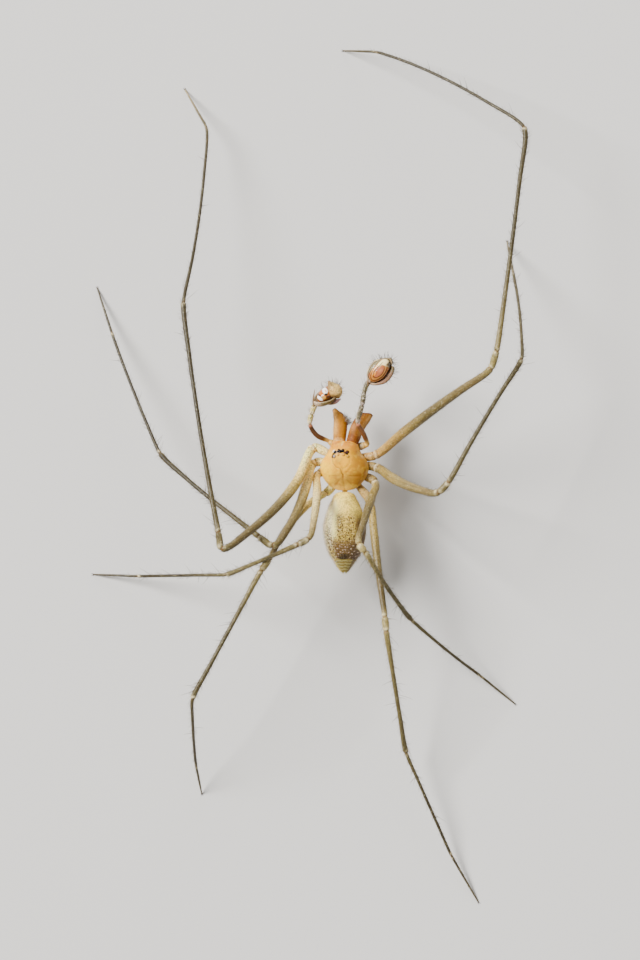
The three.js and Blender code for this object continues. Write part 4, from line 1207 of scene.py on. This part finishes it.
def bulb_paint(u, t):
    """Colours of the right bulb, which is seen from its open side."""
    radius = np.hypot(u - 0.12, 0.85 * (t + 0.06))
    lobe = np.hypot((u + 0.2) / 0.3, (t + 0.42) / 0.26)
    return painted(
        "#8e4f1c", u,
        ("#b0702c", bell(radius, 0.78, 0.08)),
        ("#c08038", bell(radius, 0.57, 0.08)),
        ("#b0643e", fall(radius, 0.4, 0.48)),
        ("#c98a62", 0.7 * dot(u, t, (0.2, 0.1), 0.16)),
        ("#cf8222", fall(lobe, 0.7, 1)),
        ("#7a3a10", 0.6 * bell(lobe, 1.1, 0.12)),
        ("#7d7350", fall(u, -0.74, -0.68)),
        ("#dc9c4a", bell(u, -0.5, 0.13) * step(t, -0.7, -0.3)),
        ("#fff0b4", 1.3 * bell(u, -0.3 - 0.2 * (1 - t), 0.2) * step(t, 0.1, 0.4)),
        ("#ffe4a4", step(t - 0.2 * u, 0.48, 0.58) * step(u, -0.5, -0.3)),
        # Near-black patch at the right of the far end: painted shade of the gap beside the bulb
        ("#2a1206", 0.9 * step(u, 0.1, 0.3) * step(t, 0.5, 0.75)),
        ("#3a1405", 0.9 * bulb_lines(u, t)))


def side_paint(points):
    """Colours of the left bulb, which is seen from its side."""
    layers = []
    for (x, y), (wide, long), turn, tone in BULB_SPOTS:
        over, up = points[..., 0] - x, points[..., 1] - y
        across = (over * math.cos(turn) + up * math.sin(turn)) / wide
        lengthwise = (up * math.cos(turn) - over * math.sin(turn)) / long
        layers.append((tone, fall(np.hypot(across, lengthwise), 0.75, 1.1)))
    return painted("#8f4f18", points, *layers)


def cup_paint(side, local, angles):
    x, y, height = np.moveaxis(local, -1, 0)
    outer = np.arange(len(local))[:, None] < CUP_OUTER_ROWS
    right, shelf = step(x, 0.05, 0.2), step(height, -0.02, 0.03)
    if side == "left":
        own = [("#b98a8c", 0.9 * step(y, 0.05, 0.25)), ("#6a6440", 0.5 * fall(y, -0.1, 0.1) * outer)]
    else:
        # The pale stripe down the left outer edge of the right cup is a painted highlight
        own = [("#6f6248", 0.9 * outer), ("#f4e6b8", 0.9 * bell(x, -0.22, 0.03) * outer),
               ("#a87a5e", 0.8 * right * shelf), ("#6f6a48", 0.8 * right * step(y, 0.1, 0.22) * shelf)]
    return painted(
        "#907a58", local,
        ("#857a52", 0.6 * outer * step(-y, 0.0, 0.3)),
        # Pale band below the rim on the outer face: painted highlight
        ("#d8c48c", 0.7 * bell(height, CUP_RIM - 0.05, 0.03) * (1 - right) * outer),
        *own,
        ("#e4c4a8", 0.6 * fall(y, -0.36, -0.25)),
        # Dark at the notch beside the point: painted shade of the gap there
        ("#2a1a0c", 0.9 * bell(angles, 1.05, 0.1) * (height > 0)))


def left_trimmings(rng):
    """Lip and hood of the left cup, with a tuft of hairs on the hood."""
    edge, _ = tube(LIP, LIP_RADII, 40, 24)
    lip = coloured(edge, 0.4, "#8f7358", ("#b48688", step(edge[..., 0], 0.5, 0.6)))
    rings, _ = tube(HOOD, HOOD_RADII, 70, 56)
    over, up = rings[..., 0], rings[..., 1]
    hood = coloured(rings, 0.45, "#dcb064",
                    ("#857240", 0.8 * step(up - 0.5 * over, 1.72, 1.9)),
                    ("#8f6a3a", 0.7 * fall(over, 0.4, 0.5)),
                    ("#4a2810", 0.85 * fall(up, 1.82, 1.9)),
                    # Pale streak across the hood: painted highlight
                    ("#e8c878", 0.6 * bell(over + 0.4 * up, 1.42, 0.06)))
    hairs("cymbium_left_tuft", "cup", hood, rng, 26, step(up, 1.95, 2.12) + FAINT, (0.1, 0.2),
          lean=(0.1, 0.6), **CUP_HAIRS)
    return [lip, hood]


def add_cup(side, middle, way, opening, rng):
    forward = Vector(way).normalized()
    across = forward.cross(Vector(opening)).normalized()
    turn, place = np.array([across, forward, across.cross(forward)]), np.array(middle)
    local, angles = cup_rings(side)
    world = local @ turn + place
    paint = cup_paint(side, local, angles)
    rows = slice(None, CUP_OUTER_ROWS)
    fleck = 0.55 * (np.arange(len(local))[:, None] < CUP_OUTER_ROWS) + 0 * angles
    skins = [Skin(world, paint=paint, fleck=fleck)]
    spur, _ = tube(SPURS[side], SPUR_RADII, 40, 20, 16)
    skins.append(coloured(spur, 0.3, "#8f7352"))
    if side == "left":
        skins += left_trimmings(rng)
    piece(f"cymbium_{side}_cup", "cup", [f"cymbium_{side}"], *skins)
    weight = step(local[rows, :, 1], -0.25, 0.3) * (0.25 + step(local[rows, :, 2], -0.15, 0.05)) + FAINT
    hairs(f"cymbium_{side}_hairs", "cup", Skin(world[rows], paint=paint[rows]), rng, 90, weight,
          (0.1, 0.22), lean=(0.2, 0.7), **CUP_HAIRS)
    dome = ball((0, 0, 0), (1, 1, 1), BULB_SIDES, BULB_ROWS)
    u, t = dome[..., 0], dome[..., 1]
    relief = 1 - 0.06 * bulb_lines(u, t) * (side == "right")
    body = dome * relief[..., None] * BULB_SIZE * BULB_SHARE[side]
    body[..., 0] *= 1 - 0.12 * t ** 2
    body = (body + BULB_SHIFT[side] + (0, 0, BULB_LIFT)) @ turn + place
    paint = bulb_paint(u, t) if side == "right" else side_paint(body)
    skin = Skin(body, paint=paint, fleck=np.full(u.shape, 0.35))
    piece(f"bulb_{side}", "bulb", [f"palp_bulb_{side}"], skin)


# Stage
def add_stage():
    half = FLOOR_SPAN / 2
    mesh = bpy.data.meshes.new("floor")
    corners = [(-half, -half), (half, -half), (half, half), (-half, half)]
    mesh.from_pydata([(x * MM, y * MM, FLOOR_HEIGHT * MM) for x, y in corners], [], [(0, 1, 2, 3)])
    mesh.materials.append(FINISHES["floor"])
    floor = placed("floor", mesh)
    world = bpy.data.worlds.new("sky")
    world.use_nodes = True
    background = world.node_tree.nodes["Background"]
    background.inputs["Color"].default_value = (1, 1, 1, 1)
    background.inputs["Strength"].default_value = SKY_STRENGTH
    bpy.context.scene.world = world
    target = Vector(LIT_PLACE) * MM
    for name, (place, size, power) in LAMPS.items():
        light = bpy.data.lights.new(name, "AREA")
        light.size, light.energy = size * MM, power
        lamp = placed(name, light)
        lamp.location = Vector(place) * MM
        lamp.rotation_mode = "QUATERNION"
        lamp.rotation_quaternion = (target - lamp.location).to_track_quat("-Z", "Y")


def add_camera():
    data = bpy.data.cameras.new("camera")
    data.lens, data.sensor_width = LENS, SENSOR
    camera = placed("camera", data)
    x = (PHOTO_SIZE[0] / 2 - ORIGIN_PIXEL[0]) / PIXELS_PER_MM
    y = (ORIGIN_PIXEL[1] - PHOTO_SIZE[1] / 2) / PIXELS_PER_MM
    above = PHOTO_SIZE[1] / PIXELS_PER_MM * LENS / SENSOR + FOCUS_HEIGHT
    camera.location = Vector((x, y, above)) * MM
    data.clip_start, data.clip_end = NEAREST_SHOWN, FARTHEST_SHOWN
    bpy.context.scene.camera = camera


for add in (add_legs, add_carapace, add_eyes, add_underside, add_jaws, add_abdomen, add_palps,
            add_stage, add_camera):
    add()
